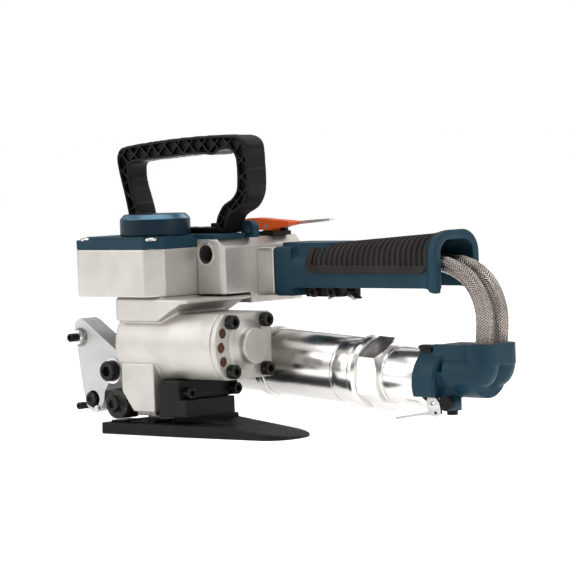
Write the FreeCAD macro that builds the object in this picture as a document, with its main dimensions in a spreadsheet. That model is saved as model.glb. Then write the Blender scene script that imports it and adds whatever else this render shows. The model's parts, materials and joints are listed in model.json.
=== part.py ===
"""Pneumatic strapping tool: tensions a plastic strap and friction-welds it.

Millimetres, +Z up. The origin is on the sole of the base plate, under the welding leg. +X runs
along the grip towards the hose elbow, and the strap is put in from the -Y side.
The tension motor, its gear case and the feed wheel are one rocker on the pivot shaft.
"""
import FreeCAD, Part
import math
import os
import re
import Sketcher

Vector = FreeCAD.Vector
Rotation = FreeCAD.Rotation

SIZES = {
    # base plate, its raised land and the tongue that slides under the strap
    "base_left": -36.4, "base_right": 43, "base_near": -25, "base_far": 37, "base_top": 8,
    "land_left": 15.7, "land_top": 13, "land_near": -4.5, "tongue_far": 33.5,
    "tongue_end": 129, "tongue_near_end": -20.5, "tongue_near_round": 16, "tongue_far_round": 34,
    "tongue_high": 10.2, "tongue_fall": 0.1177, "tongue_lean": 0.0553, "sole_screw_radius": 2.5,
    # strap plates
    "plate_near": -17, "plate_far": 1, "plate_rise": 1.2,
    # cast body: barrel of the weld motor, leg and neck
    "barrel_y": 13, "barrel_z": 61.7, "barrel_radius": 32, "barrel_half": 22.8, "barrel_back": 37,
    "barrel_left": -25.7, "casting_right": 68, "cover_face": 73, "motor_bore": 20.5,
    "motor_bore_left": 8, "eccentric_bore": 4.6, "leg_left": -20, "leg_right": 12, "leg_near": -19,
    "leg_bottom": 16, "leg_split": 5, "neck_near": -20, "neck_far": 45, "neck_low": 79.4,
    "neck_right": 50, "neck_left": -23, "housing_low": 96.4,
    # end cover of the weld motor
    "bolt_half": 17, "boss_radius": 12.6, "boss_flare": 18, "boss_out": 9, "vent_radius": 3.5,
    "vent_circle": 25.8, "vent_step": 22.5,
    # weld motor inside the barrel
    "liner_radius": 20.4, "liner_bore": 17, "rotor_radius": 14.6, "rotor_left": 26,
    "rotor_right": 60, "shaft_radius": 4.5, "bearing_radius": 11,
    "crank_throw": 1, "vane_count": 5,
    # strap guide block under the barrel
    "guide_near": -18.4, "guide_far": 29.6, "guide_top": 38.6, "guide_shelf": 25,
    "guide_step": 36, "guide_back": 40, "guide_screw_z": 29.5, "guide_screw_half": 23,
    # upper housing, its cover and the press cylinder
    "housing_left": -56, "housing_right": 22.5, "housing_near": -25, "housing_far": 50,
    "housing_top": 129.7, "housing_chamfer": 10, "cover_top": 136.4, "cover_tier": 138.5,
    "cap_radius": 24.85, "cap_top": 153.7, "cylinder_bore": 20, "cylinder_floor": 102,
    "piston_radius": 19.95, "piston_low": 116, "piston_high": 128, "rod_radius": 4,
    "rod_bore": 4.05, "press_stroke": 3.3, "press_x": -4, "press_y": 4,
    # rear block with the air inlet
    "rear_near": 17.5, "rear_far": 99, "rear_right": 48, "rear_step_y": 43,
    "rear_low": 89, "rear_top": 134.9, "inlet_x": 31.2, "inlet_z": 124.4, "inlet_radius": 5.8,
    "inlet_sink": 7.9, "inlet_depth": 14,
    # handle, grip and the carry handle
    "adapter_right": 63.6, "adapter_low": 93.4, "adapter_high": 127.8, "handle_near": 52,
    "handle_far": 92, "handle_y": 72, "flange_right": 80, "handle_end": 215,
    "handle_low": 99.4, "handle_high": 126.5, "handle_rise": 3.83, "bar_height": 60,
    "handle_wall": 3, "handle_round": 13, "grip_start": 90,
    "grip_stop": 207, "grip_proud": 1.8, "grip_low": 107, "carry_near": 29.5, "carry_far": 48.5,
    # link plate and the rocker pivot
    "link_near": -13, "link_far": 3.5, "pivot_x": -55.7, "pivot_z": 23, "pivot_radius": 6,
    "link_bolt_x": -34.5, "link_bolt_z": 43.6, "stop_x": -66.5, "stop_z": 67,
    # gear train: feed shaft and cross shaft parallel to Y
    "feed_x": -29, "feed_z": 20.6, "gear_module": 1.2, "feed_teeth": 24, "cross_teeth": 44,
    "gear_angle": 51, "gear_near": 42.5, "gear_width": 8, "wheel_radius": 11, "wheel_near": -16,
    "wheel_width": 17, "case_near": 37.6, "case_far": 97, "case_radius": 30, "case_room": 27.9,
    # tension motor, measured along its own axis from the cross shaft
    "bevel_cone": 26, "bevel_slim": 0.1, "bevel_tip": 0.5, "pinion_teeth": 16, "crown_teeth": 32,
    "motor_y": 72, "motor_tilt": 3.6,
    "tube_radius": 23.45, "tube_bore": 20, "tube_start": 28.5,
    "tube_end": 188, "tube_groove": 171, "groove_width": 3, "band_start": 99.5, "band_end": 107.5,
    "collar_radius": 25.5, "collar_end": 194.5, "nut_end": 213, "nut_corner": 25.6,
    "rear_radius": 20, "rear_end": 245, "elbow_radius": 24, "elbow_start": 245.3,
    "elbow_end": 264,
    # hose elbow and hoses
    "elbow_low": 28, "elbow_top": 62.3, "collar_cut": 26, "elbow_right": 256,
    "elbow_left": 210, "hose_x": 244.5, "hose_near_y": 63.5, "hose_far_y": 80.5,
    "hose_radius": 5.75, "hose_high": 117,
    "hose_bend": 41.5, "hose_front": 66, "hose_low": 46,
    # control levers
    "lever_y": 80, "lever_pivot_x": 40, "lever_pivot_z": 141.5, "trigger_x": 113,
    "trigger_z": 97.4,
}

document = FreeCAD.newDocument("strapping_tool")
sheet = document.addObject("Spreadsheet::Sheet", "dims")
for row, (alias, value) in enumerate(SIZES.items(), start=1):
    sheet.set(f"A{row}", alias.replace("_", " "))
    sheet.set(f"B{row}", str(value))
    sheet.setAlias(f"B{row}", alias)
document.recompute()

PARTS = []
TURN = {
    "x": Rotation(Vector(0, 1, 0), 90),
    "y": Rotation(Vector(1, 0, 0), -90),
    "z": Rotation(),
}


def sized(text):
    """The expression with every size name read from the sheet."""
    def from_sheet(word):
        return "dims." + word[0] if word[0] in SIZES else word[0]
    return re.sub(r"[a-z][a-z_]*", from_sheet, str(text))


def bind(thing, name, text):
    thing.setExpression(name, sized(text))


def add(kind, label):
    thing = document.addObject(kind, label)
    thing.Label = label
    return thing


def put(thing, x=0, y=0, z=0, turn="z"):
    """Place a thing at expressions of the sheet, its own Z turned to an axis."""
    thing.Placement = FreeCAD.Placement(Vector(), TURN[turn])
    for axis, text in zip("xyz", (x, y, z)):
        bind(thing, f"Placement.Base.{axis}", text)
    return thing


def keep(thing, label=None):
    """Make a thing one of the tool's named pieces."""
    if label:
        thing.Label = label
    PARTS.append(thing)
    return thing


def box(label, x, y, z):
    """A block between two expressions on each axis."""
    block = add("Part::Box", label)
    for side, (low, high) in zip(("Length", "Width", "Height"), (x, y, z)):
        bind(block, side, f"({high}) - ({low})")
    return put(block, x[0], y[0], z[0])


def rod(label, axis, centre, start, end, radius):
    """A cylinder along an axis; centre gives the two other coordinates in order."""
    cylinder = add("Part::Cylinder", label)
    bind(cylinder, "Radius", radius)
    bind(cylinder, "Height", f"({end}) - ({start})")
    spot = list(centre)
    spot.insert("xyz".index(axis), start)
    return put(cylinder, *spot, turn=axis)


def cone(label, axis, centre, start, end, radius, end_radius):
    frustum = add("Part::Cone", label)
    bind(frustum, "Radius1", radius)
    bind(frustum, "Radius2", end_radius)
    bind(frustum, "Height", f"({end}) - ({start})")
    spot = list(centre)
    spot.insert("xyz".index(axis), start)
    return put(frustum, *spot, turn=axis)


def hexagon(label, axis, centre, start, end, corner_radius):
    prism = add("Part::Prism", label)
    prism.Polygon = 6
    bind(prism, "Circumradius", corner_radius)
    bind(prism, "Height", f"({end}) - ({start})")
    spot = list(centre)
    spot.insert("xyz".index(axis), start)
    return put(prism, *spot, turn=axis)


def fuse(label, *things):
    joined = add("Part::MultiFuse", label)
    joined.Shapes = list(things)
    joined.Refine = True
    return joined


def common(label, first, second):
    overlap = add("Part::Common", label)
    overlap.Base = first
    overlap.Tool = second
    return overlap


def cut(label, base, *tools):
    remaining = add("Part::Cut", label)
    remaining.Base = base
    remaining.Tool = tools[0] if len(tools) == 1 else fuse(label + "_tools", *tools)
    remaining.Refine = True
    return remaining


def cut_in_turn(label, base, *tools):
    """Cut the tools one after another, for tools that meet each other at awkward angles."""
    for number, tool in enumerate(tools, start=1):
        remaining = add("Part::Cut", label if number == len(tools) else f"{label}_step_{number}")
        remaining.Base = base
        remaining.Tool = tool
        base = remaining
    return base


def group(label, things):
    """Separate solids that share one name, such as a set of screws."""
    compound = add("Part::Compound", label)
    compound.Links = list(things)
    return keep(compound)


def edges_like(thing, test):
    """Numbers of a thing's edges that pass a test on the edge."""
    document.recompute()
    return [i for i, edge in enumerate(thing.Shape.Edges, start=1) if test(edge)]


def rounded(label, thing, radius, test, kind="Part::Fillet"):
    """Round (or chamfer) the edges that pass a test; the radius is a size name or a number."""
    soft = add(kind, label)
    soft.Base = thing
    size = float(SIZES.get(radius, radius))
    soft.Edges = [(i, size, size) for i in edges_like(thing, test)]
    return soft


def along(axis):
    """A test for straight edges parallel to an axis."""
    index = "xyz".index(axis)

    def test(edge):
        if not isinstance(edge.Curve, Part.Line):
            return False
        ends = edge.Vertexes[-1].Point - edge.Vertexes[0].Point
        return abs(ends[index]) > 0.999 * ends.Length
    return test


def origin_plane(body, role):
    return next(plane for plane in body.Origin.OriginFeatures if plane.Role == role)


def outline_sketch(body, plane, outline):
    """A closed outline of straight sides whose every corner is held by two sheet-driven sizes."""
    sketch = body.newObject("Sketcher::SketchObject", body.Name + "_sketch")
    sketch.AttachmentSupport = [(origin_plane(body, plane), "")]
    sketch.MapMode = "FlatFace"
    count = len(outline)
    ring = [Vector(math.cos(i * math.tau / count), math.sin(i * math.tau / count), 0)
            for i in range(count)]
    for i in range(count):
        sketch.addGeometry(Part.LineSegment(ring[i], ring[(i + 1) % count]))
    for i in range(count):
        sketch.addConstraint(Sketcher.Constraint("Coincident", i, 2, (i + 1) % count, 1))
    for i, (across, up) in enumerate(outline):
        for kind, start, text in (("DistanceX", ring[i].x, across), ("DistanceY", ring[i].y, up)):
            number = sketch.addConstraint(Sketcher.Constraint(kind, -1, 1, i, 1, start))
            bind(sketch, f"Constraints[{number}]", text)
    return sketch


def padded(label, plane, outline, thickness, x=0, y=0, z=0):
    """A body whose outline is padded off its plane: +Z from XY, -Y from XZ, +X from YZ."""
    body = add("PartDesign::Body", label)
    sketch = outline_sketch(body, plane, outline)
    pad = body.newObject("PartDesign::Pad", label + "_pad")
    pad.Profile = sketch
    bind(pad, "Length", thickness)
    return put(body, x, y, z)


def turned(label, outline, x=0, y=0, z=0, turn="z"):
    """A body of revolution: the outline is (radius, height) about its own Z."""
    body = add("PartDesign::Body", label)
    sketch = outline_sketch(body, "XZ_Plane", outline)
    spin = body.newObject("PartDesign::Revolution", label + "_spin")
    spin.Profile = sketch
    spin.ReferenceAxis = (sketch, ["V_Axis"])
    spin.Angle = 360
    return put(body, x, y, z, turn)


def cap_screw(label, axis, centre, seat, out, head_radius, shank_radius, reach, height=0):
    """A socket-head cap screw: the head stands from its seat towards out (+1 or -1)."""
    def span(near, far):
        low, high = sorted((near * out, far * out))
        return f"({seat}) + ({low})", f"({seat}) + ({high})"
    height = height or head_radius * 1.15
    head = rod(label + "_head", axis, centre, *span(0, height), head_radius)
    shank = rod(label + "_shank", axis, centre, *span(-reach, 0.2), shank_radius)
    socket = hexagon(label + "_socket", axis, centre, *span(height * 0.4, height + 1),
                     head_radius * 0.56)
    return cut(label, fuse(label + "_blank", head, shank), socket)


def tooth_outline(teeth, module, phase, slim=0.0, tip=0.8):
    """Corners of a straight-flanked gear outline, tooth tips centred on the phase angle.

    slim takes that share of the pitch off each tooth; tip is the addendum in modules."""
    pitch = teeth * module / 2
    corners = []
    for tooth in range(teeth):
        middle = phase + math.tau * tooth / teeth
        for radius, half in ((pitch - 1.25 * module, 0.56), (pitch + tip * module, 0.18)):
            width = (math.tau / teeth) * (half - slim) / 2
            corners.append((radius, middle, width))
    points = []
    for low, high in zip(corners[0::2], corners[1::2]):
        for radius, angle in ((low[0], low[1] - low[2]), (high[0], high[1] - high[2]),
                              (high[0], high[1] + high[2]), (low[0], low[1] + low[2])):
            points.append(Vector(radius * math.cos(angle), radius * math.sin(angle), 0))
    return points


def spur_gear(label, teeth_name, phase, bore, x, y, z):
    """A spur gear with its axis along +Y."""
    gear = add("Part::Feature", label)
    points = tooth_outline(int(SIZES[teeth_name]), SIZES["gear_module"], phase)
    face = Part.Face(Part.makePolygon(points + points[:1]))
    solid = face.extrude(Vector(0, 0, SIZES["gear_width"]))
    gear.Shape = solid.cut(Part.makeCylinder(bore, SIZES["gear_width"]))
    return keep(put(gear, x, y, z, turn="y"))


def motor_piece(thing, shift=0):
    """Lay a thing whose own Z is the motor axis along the tilted motor."""
    thing.Placement = FreeCAD.Placement(Vector(), Rotation(Vector(0, 1, 0), 90 + SIZES["motor_tilt"]))
    bind(thing, "Placement.Rotation.Angle", "90 + motor_tilt")
    bind(thing, "Placement.Base.x", f"{CROSS_X} + ({shift}) * cos(motor_tilt)")
    bind(thing, "Placement.Base.y", "motor_y")
    bind(thing, "Placement.Base.z", f"{CROSS_Z} - ({shift}) * sin(motor_tilt)")
    return thing


GEAR_SPACING = "gear_module * (feed_teeth + cross_teeth) / 2"
CROSS_X = f"(feed_x - {GEAR_SPACING} * cos(gear_angle))"
CROSS_Z = f"(feed_z + {GEAR_SPACING} * sin(gear_angle))"
BARREL = ("barrel_y", "barrel_z")
CROSS = (CROSS_X, CROSS_Z)
FEED = ("feed_x", "feed_z")
PIVOT = ("pivot_x", "pivot_z")
PRESS = ("press_x", "press_y")


# ---------------------------------------------------------------- base and strap channel
SOLE_SCREWS = [("-14", "20"), ("-14", "31"), ("6", "20"), ("6", "31")]


def tip_edge(side):
    """Picks the upright edge at the tongue's end on the near or the far side of a y."""
    def chosen(edge):
        bounds = edge.BoundBox
        at_end = bounds.XMin > SIZES["tongue_end"] - 1
        return along("z")(edge) and at_end and (bounds.YMin > side) == (side > 0)
    return chosen


def base_plate():
    wide = box("base_wide", ("base_left", "base_right"), ("base_near", "base_far"), ("0", "base_top"))
    wide = rounded("base_wide_round", wide, 2, along("z"))
    land = box("base_land", ("land_left", "base_right"), ("land_near", "tongue_far"), (0, "land_top"))
    plan = [("base_right - 2", "base_near"), ("tongue_end", "tongue_near_end"), ("tongue_end", "tongue_far"),
            ("base_right - 2", "tongue_far")]
    tongue = padded("tongue_plan", "XY_Plane", plan, "land_top")
    for place, size in (("near", -10), ("far", 20)):
        tongue = rounded(f"tongue_round_{place}", tongue, SIZES[f"tongue_{place}_round"], tip_edge(size))
    above = add("Part::Box", "tongue_above")
    above.Length = above.Width = 2 * SIZES["tongue_end"]
    above.Height = SIZES["tongue_end"]
    slope = Rotation(Vector(0, 0, 1), Vector(SIZES["tongue_fall"], SIZES["tongue_lean"], 1))
    corner = Vector(SIZES["base_right"], SIZES["tongue_far"], SIZES["tongue_high"])
    centred = FreeCAD.Placement(Vector(-SIZES["tongue_end"], -SIZES["tongue_end"], 0), Rotation())
    above.Placement = FreeCAD.Placement(corner, slope) * centred
    step = box("tongue_step", ("base_right - 3", "tongue_end + 1"), ("base_near - 1", "land_near"),
               ("base_top", "land_top + 1"))
    tip = cut_in_turn("tongue_wedge", tongue, step, above)
    holes = [rod(f"sole_hole_{i}", "z", spot, -1, 9, "sole_screw_radius + 0.05")
             for i, spot in enumerate(SOLE_SCREWS)]
    sinks = [rod(f"sole_sink_{i}", "z", spot, -1, 3.6, "sole_screw_radius + 2.3")
             for i, spot in enumerate(SOLE_SCREWS)]
    keep(cut("base_plate", fuse("base_blank", wide, land, tip), *holes, *sinks))
    screws = []
    for i, spot in enumerate(SOLE_SCREWS):
        head = rod(f"sole_screw_head_{i}", "z", spot, 0.6, 3.5, "sole_screw_radius + 2.1")
        shank = rod(f"sole_screw_shank_{i}", "z", spot, 3, 19, "sole_screw_radius")
        slot = hexagon(f"sole_screw_slot_{i}", "z", spot, 0, 2.2, 2)
        screws.append(cut(f"sole_screw_{i}", fuse(f"sole_screw_blank_{i}", head, shank), slot))
    return screws


def strap_plate(label, left, right, teeth):
    """A toothed plate on the base that the strap lies on."""
    across = ("plate_near", "plate_far")
    blank = box(label + "_blank", (left, right), across, ("base_top", "base_top + plate_rise"))
    grooves = []
    for i in range(teeth):
        spot = f"({left}) + {i + 1} * (({right}) - ({left})) / {teeth + 1}"
        grooves.append(box(f"{label}_groove_{i}", (f"{spot} - 0.25", f"{spot} + 0.25"),
                           ("plate_near - 1", "plate_far + 1"),
                           ("base_top + plate_rise - 0.4", "base_top + plate_rise + 1")))
    return cut(label, blank, *grooves)


# ---------------------------------------------------------------- cast body
def barrel_section(label, start, end, shrink=0):
    drum = rod(label + "_drum", "x", BARREL, start, end, f"barrel_radius - {shrink}")
    trim = box(label + "_trim", (start, end), ("barrel_y - 40", f"barrel_back - {shrink}"),
               (f"barrel_z - barrel_half + {shrink}", f"barrel_z + barrel_half - {shrink}"))
    return common(label, drum, trim)


def bolt_spots(half="bolt_half"):
    return [(f"barrel_y + {a} * {half}", f"barrel_z + {b} * {half}") for a in (-1, 1) for b in (-1, 1)]


def main_casting():
    barrel = barrel_section("barrel", "barrel_left", "casting_right")
    leg_side = [("leg_left", 30), ("leg_left + 11", "leg_bottom"), ("leg_right", "leg_bottom"),
                ("leg_right", 50), ("leg_left", 50)]
    near_leg = padded("near_leg", "XZ_Plane", leg_side, "leg_split - leg_near", y="leg_split")
    far_leg = box("far_leg", ("leg_left", "leg_right"), ("leg_split", "barrel_back"), ("base_top", 50))
    neck_side = [("neck_left", "neck_low"), (18, "neck_low"), (30, 86), (41, 91.5), ("neck_right", 92),
                 ("neck_right", 94.9), ("neck_left", 94.9)]
    neck = padded("neck", "XZ_Plane", neck_side, "neck_far - neck_near", y="neck_far")
    neck = rounded("neck_round", neck, 5,
                   lambda edge: along("y")(edge) and edge.BoundBox.ZMax < 92
                   and edge.BoundBox.XMin > 10)
    neck_trim = cut("neck_body", neck, box("neck_clear", ("rear_right", 60), (-30, 99), (70, 99)))
    seat = box("housing_seat", ("neck_left", "housing_right"), ("neck_near + 2", "neck_far"),
               (94, "housing_low"))
    lug = box("link_lug", ("link_bolt_x - 7", -25), ("link_far + 0.02", 18), (36.4, 51))
    blank = fuse("casting_blank", barrel, near_leg, far_leg, neck_trim, seat, lug)
    tools = [
        rod("motor_hole", "x", BARREL, "motor_bore_left", 80, "motor_bore"),
        rod("shaft_hole", "x", BARREL, -40, 20, "eccentric_bore"),
        rod("press_rod_hole", "z", PRESS, 30, 99, "rod_bore"),
        box("jaw_pocket", (-13.5, 7.5), (-16.5, 4.5), (10, 37)),
        box("jaw_window", (-13.5, 7.5), (-16.5, 8.3), (33.4, 41)),
        rod("link_bolt_hole", "y", ("link_bolt_x", "link_bolt_z"), -10, 30, 3.05),
        rod("wheel_relief", "y", FEED, "wheel_near - 1.4", "wheel_near + wheel_width + 1.4",
            "wheel_radius + 0.8"),
        rod("wheel_relief_high", "y", ("feed_x", "feed_z + 3.2"), "wheel_near - 1.4",
            "wheel_near + wheel_width + 1.4", "wheel_radius + 0.8"),
    ]
    tools += [rod(f"cover_bolt_hole_{i}", "x", spot, 50, 80, 3.05) for i, spot in enumerate(bolt_spots())]
    tools += [rod(f"leg_screw_hole_{i}", "z", spot, 5, 20, "sole_screw_radius + 0.05")
              for i, spot in enumerate(SOLE_SCREWS)]
    keep(cut("main_casting", blank, *tools))


def end_cover():
    plate = barrel_section("cover_plate", "casting_right", "cover_face")
    flare = cone("boss_flare", "x", BARREL, "cover_face - 0.1", "cover_face + 4",
                 "boss_flare", "boss_radius")
    boss = rod("boss_rod", "x", BARREL, "cover_face", "cover_face + boss_out", "boss_radius")
    boss = rounded("boss_round", boss, 1, lambda edge: edge.BoundBox.XMin > SIZES["cover_face"] + 8)
    tools = [rod("boss_hollow", "x", BARREL, 60, "cover_face + boss_out - 3", "bearing_radius - 2")]
    for i, spot in enumerate(bolt_spots()):
        tools.append(rod(f"cover_hole_{i}", "x", spot, 60, 90, 3.05))
        tools.append(rod(f"cover_seat_{i}", "x", spot, "cover_face", 90, 5.6))
    vents = []
    for i in (-1, 0, 1):
        spot = (f"barrel_y - vent_circle * cos({i} * vent_step)",
                f"barrel_z + vent_circle * sin({i} * vent_step)")
        tools.append(rod(f"vent_{i + 1}", "x", spot, 60, 90, "vent_radius"))
        vents.append(rod(f"silencer_{i + 1}", "x", spot, "casting_right + 0.2", "cover_face - 0.8",
                         "vent_radius - 0.02"))
    keep(cut("end_cover", fuse("cover_blank", plate, flare, boss), *tools))
    group("silencer_plugs", vents)
    return [cap_screw(f"end_screw_{i}", "x", spot, "cover_face", 1, 5, 3, 20)
            for i, spot in enumerate(bolt_spots())]


def rotor_blade(label, angle, half, low, high, spare):
    """A flat blade along the barrel, from radius low to high, turned by angle about its axis.

    It ends spare beyond each end of the rotor."""
    blade = box(label, ("0", "1"), ("0", f"2 * {half}"), ("0", f"{high} - {low}"))
    bind(blade, "Length", f"rotor_right - rotor_left + 2 * {spare}")
    blade.Placement = FreeCAD.Placement(Vector(), Rotation(Vector(1, 0, 0), angle))
    bind(blade, "Placement.Base.x", f"rotor_left - {spare}")
    bind(blade, "Placement.Base.y", f"barrel_y - {half} * cos({angle}) - {low} * sin({angle})")
    bind(blade, "Placement.Base.z", f"barrel_z - {half} * sin({angle}) + {low} * cos({angle})")
    return blade


def weld_motor():
    liner = rod("liner_rod", "x", BARREL, 17, 67, "liner_radius")
    bore = rod("liner_hole", "x", ("barrel_y", "barrel_z + 1.2"), 10, 70, "liner_bore")
    keep(cut("weld_motor_liner", liner, bore))
    rings = []
    seats = (("front", 8.4, 16.6, "motor_bore - 0.1"), ("rear", 69, 75.5, "bearing_radius - 2.05"))
    for name, start, end, radius in seats:
        ring = rod(f"{name}_ring", "x", BARREL, start, end, radius)
        hole = rod(f"{name}_ring_hole", "x", BARREL, start - 1, end + 1, "shaft_radius + 0.05")
        rings.append(cut(f"motor_bearing_{name}", ring, hole))
    group("weld_motor_bearings", rings)
    core = rod("rotor_core", "x", BARREL, "rotor_left", "rotor_right", "rotor_radius")
    shaft = rod("rotor_shaft", "x", BARREL, -12, 76, "shaft_radius")
    crank = rod("rotor_crank", "x", ("barrel_y", "barrel_z + crank_throw"), -20, -12, "shaft_radius - 1.2")
    turns = range(int(SIZES["vane_count"]))
    slots = [rotor_blade(f"rotor_slot_{i}", 72 * i, 1.1, 7, 16, 1) for i in turns]
    vanes = [rotor_blade(f"rotor_vane_{i}", 72 * i, 1.0, 7.2, 14.4, -0.2) for i in turns]
    keep(cut("weld_rotor", fuse("rotor_blank", core, shaft, crank), *slots))
    group("weld_rotor_vanes", vanes)


def weld_press():
    piston = rod("piston_disc", "z", PRESS, "piston_low", "piston_high", "piston_radius")
    groove = cut("seal_groove", rod("groove_rod", "z", PRESS, 120, 124, 21),
                 rod("groove_core", "z", PRESS, 119, 125, 17.6))
    stem = rod("piston_stem", "z", PRESS, 39.5, "piston_low + 1", "rod_radius")
    keep(cut("weld_piston", fuse("piston_blank", piston, stem), groove))
    keep(cut("piston_seal", rod("seal_rod", "z", PRESS, 120.1, 123.9, 19.97),
             rod("seal_hole", "z", PRESS, 119, 125, 17.65)))
    holder = box("holder_block", (-12, 6), (-13, 4.2), (30, 39.5))
    rails = box("holder_groove", (-4.5, -1.5), (-20, 20), (20, 33))
    shoe = box("holder_shoe", (-9, 3), (4, 8), (37.3, 39.5))
    keep(cut("jaw_holder", fuse("holder_blank", holder, shoe), rails))
    jaw = box("jaw_block", (-12, 6), (-12, 0.5), ("base_top + plate_rise + press_stroke + 0.3", 29.9))
    key = box("jaw_key", (-4.4, -1.6), (-12, 0.5), (29.8, 32.8))
    keep(fuse("weld_jaw", jaw, key))
    coils = []
    spring_low, spring_high, turns = 103.4, 114.6, 4
    for i in range(turns):
        coil = add("Part::Torus", f"spring_coil_{i}")
        coil.Radius1 = 9
        coil.Radius2 = 1.1
        put(coil, *PRESS, spring_low + (spring_high - spring_low) * i / (turns - 1))
        coils.append(coil)
    post = box("spring_link", ("press_x + 8.4", "press_x + 9.6"), ("press_y - 0.6", "press_y + 0.6"),
               (spring_low, spring_high))
    keep(fuse("return_spring", *coils, post))


def guide_block():
    side = [("land_left", "land_top"), ("base_right", "land_top"), ("base_right", "guide_shelf"),
            ("guide_step", "guide_shelf"), ("guide_step", "guide_top - 0.4"),
            ("land_left + 5", "guide_top - 0.4"), ("land_left", 33)]
    block = padded("guide_main", "XZ_Plane", side, "guide_far - guide_near", y="guide_far")
    wing = box("guide_wing", ("land_left", "guide_step"), ("guide_far", "guide_back"),
               ("guide_shelf", "guide_top - 0.4"))
    spots = [(f"barrel_y + {a} * guide_screw_half", "guide_screw_z") for a in (-1, 1)]
    holes = [rod(f"guide_hole_{i}", "x", spot, 20, 50, 2.55) for i, spot in enumerate(spots)]
    keep(cut("strap_guide", fuse("guide_blank", block, wing), *holes))
    return [cap_screw(f"guide_screw_{i}", "x", spot, "guide_step", 1, 4.3, 2.5, 13)
            for i, spot in enumerate(spots)]


# ---------------------------------------------------------------- upper housing
def housing_outline(inset):
    i = inset
    return [(f"housing_left + {i}", f"housing_near + {i}"),
            (f"housing_right - housing_chamfer - {i} * 0.4", f"housing_near + {i}"),
            (f"housing_right - {i}", f"housing_near + housing_chamfer + {i} * 0.4"),
            (f"housing_right - {i}", f"housing_far - {i}"), (f"housing_left + {i}", f"housing_far - {i}")]


CARRY_SCREWS = [(-36, 39), (22, 39)]


def upper_housing():
    body = padded("housing_body", "XY_Plane", housing_outline(0), "housing_top - housing_low",
                  z="housing_low")
    body = rounded("housing_round", body, 2.5, along("z"))
    tools = [
        rod("cylinder_hole", "z", PRESS, "cylinder_floor", 140, "cylinder_bore"),
        rod("rod_guide", "z", PRESS, 90, 110, "rod_bore"),
        box("valve_cavity", (-50, -28), (-15, 40), (102, 140)),
        box("front_cavity", (-22, 18), (28, 40), (102, 140)),
    ]
    spots = COVER_SCREWS
    tools += [rod(f"housing_tap_{i}", "z", spot, 118, 140, 1.55) for i, spot in enumerate(spots)]
    tools += [rod(f"housing_carry_tap_{i}", "z", spot, 120, 140, 2.55)
              for i, spot in enumerate(CARRY_SCREWS)]
    keep(cut("upper_housing", body, *tools))


COVER_SCREWS = [(-49.2, -20), (14.9, -19.2), (-25, 44.6), (14, 44.6)]


def top_cover():
    lower = padded("cover_lower", "XY_Plane", housing_outline(0), "cover_top - housing_top", z="housing_top")
    lower = rounded("cover_lower_round", lower, 2.5, along("z"))
    upper = padded("cover_upper", "XY_Plane", housing_outline(2.5), "cover_tier - cover_top", z="cover_top")
    upper = rounded("cover_upper_round", upper, 2, along("z"))
    shelf = box("cover_shelf", ("housing_right - 6", "rear_right - 2"), ("rear_near + 1", "rear_step_y"),
                ("rear_top", "cover_tier"))
    tools = [rod("cap_opening", "z", PRESS, 120, 150, "cap_radius - 1.2")]
    for i, spot in enumerate(COVER_SCREWS):
        tools.append(rod(f"cover_screw_hole_{i}", "z", spot, 120, 150, 1.6))
        tools.append(rod(f"cover_screw_seat_{i}", "z", spot, 135.6, 150, 5))
    tools += [rod(f"cover_carry_hole_{i}", "z", spot, 120, 150, 2.55)
              for i, spot in enumerate(CARRY_SCREWS)]
    keep(cut("top_cover", fuse("cover_blank_top", lower, upper, shelf), *tools))
    screws = []
    for i, spot in enumerate(COVER_SCREWS):
        dome = rounded(f"button_dome_{i}", rod(f"button_head_{i}", "z", spot, 135.6, 138.3, 4.6), 1.6,
                       lambda edge: edge.BoundBox.ZMin > 138)
        shank = rod(f"button_shank_{i}", "z", spot, 120, 136, 1.5)
        socket = hexagon(f"button_socket_{i}", "z", spot, 137, 140, 1.8)
        screws.append(cut(f"button_screw_{i}", fuse(f"button_blank_{i}", dome, shank), socket))
    return screws


def cylinder_cap():
    outline = [(0, 133), ("cylinder_bore - 0.1", 133), ("cylinder_bore - 0.1", "cover_tier + 0.3"),
               ("cap_radius", "cover_tier + 0.3"), ("cap_radius", "cap_top - 3"),
               ("cap_radius - 3", "cap_top"), (0, "cap_top")]
    keep(turned("cylinder_cap", outline, *PRESS))


def rear_block():
    body = box("rear_blank", ("housing_right", "rear_right"), ("rear_near", "rear_far"),
               ("rear_low", "rear_top"))
    right = SIZES["rear_right"]
    body = rounded("rear_bevel", body, 5.5, lambda edge: along("y")(edge)
                   and edge.BoundBox.ZMin > SIZES["rear_top"] - 0.1 and edge.BoundBox.XMin > right - 0.1,
                   kind="Part::Chamfer")
    body = rounded("rear_corner", body, 3,
                   lambda edge: along("z")(edge) and edge.BoundBox.XMin > SIZES["rear_right"] - 0.1)
    spot = ("inlet_x", "inlet_z")
    tools = [
        rod("inlet_bore", "y", spot, "rear_near - 1", "rear_near + inlet_depth", "inlet_radius"),
        rod("inlet_countersink", "y", spot, "rear_near - 1", "rear_near + 1.5", "inlet_sink"),
        box("casting_clear", (10, 60), (10, "neck_far + 0.02"), (80, "housing_low + 0.02")),
        box("rear_gallery", (28, 42), ("rear_near + inlet_depth + 4", 92), (100, 128)),
        rod("rear_carry_hole", "z", CARRY_SCREWS[1], 120, 150, 2.55),
        rod("hose_gallery_near", "x", ("hose_near_y", "hose_high"), 35, 60, 4),
        rod("hose_gallery_far", "x", ("hose_far_y", "hose_high"), 35, 60, 4),
    ]
    keep(cut("rear_block", body, *tools))


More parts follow.
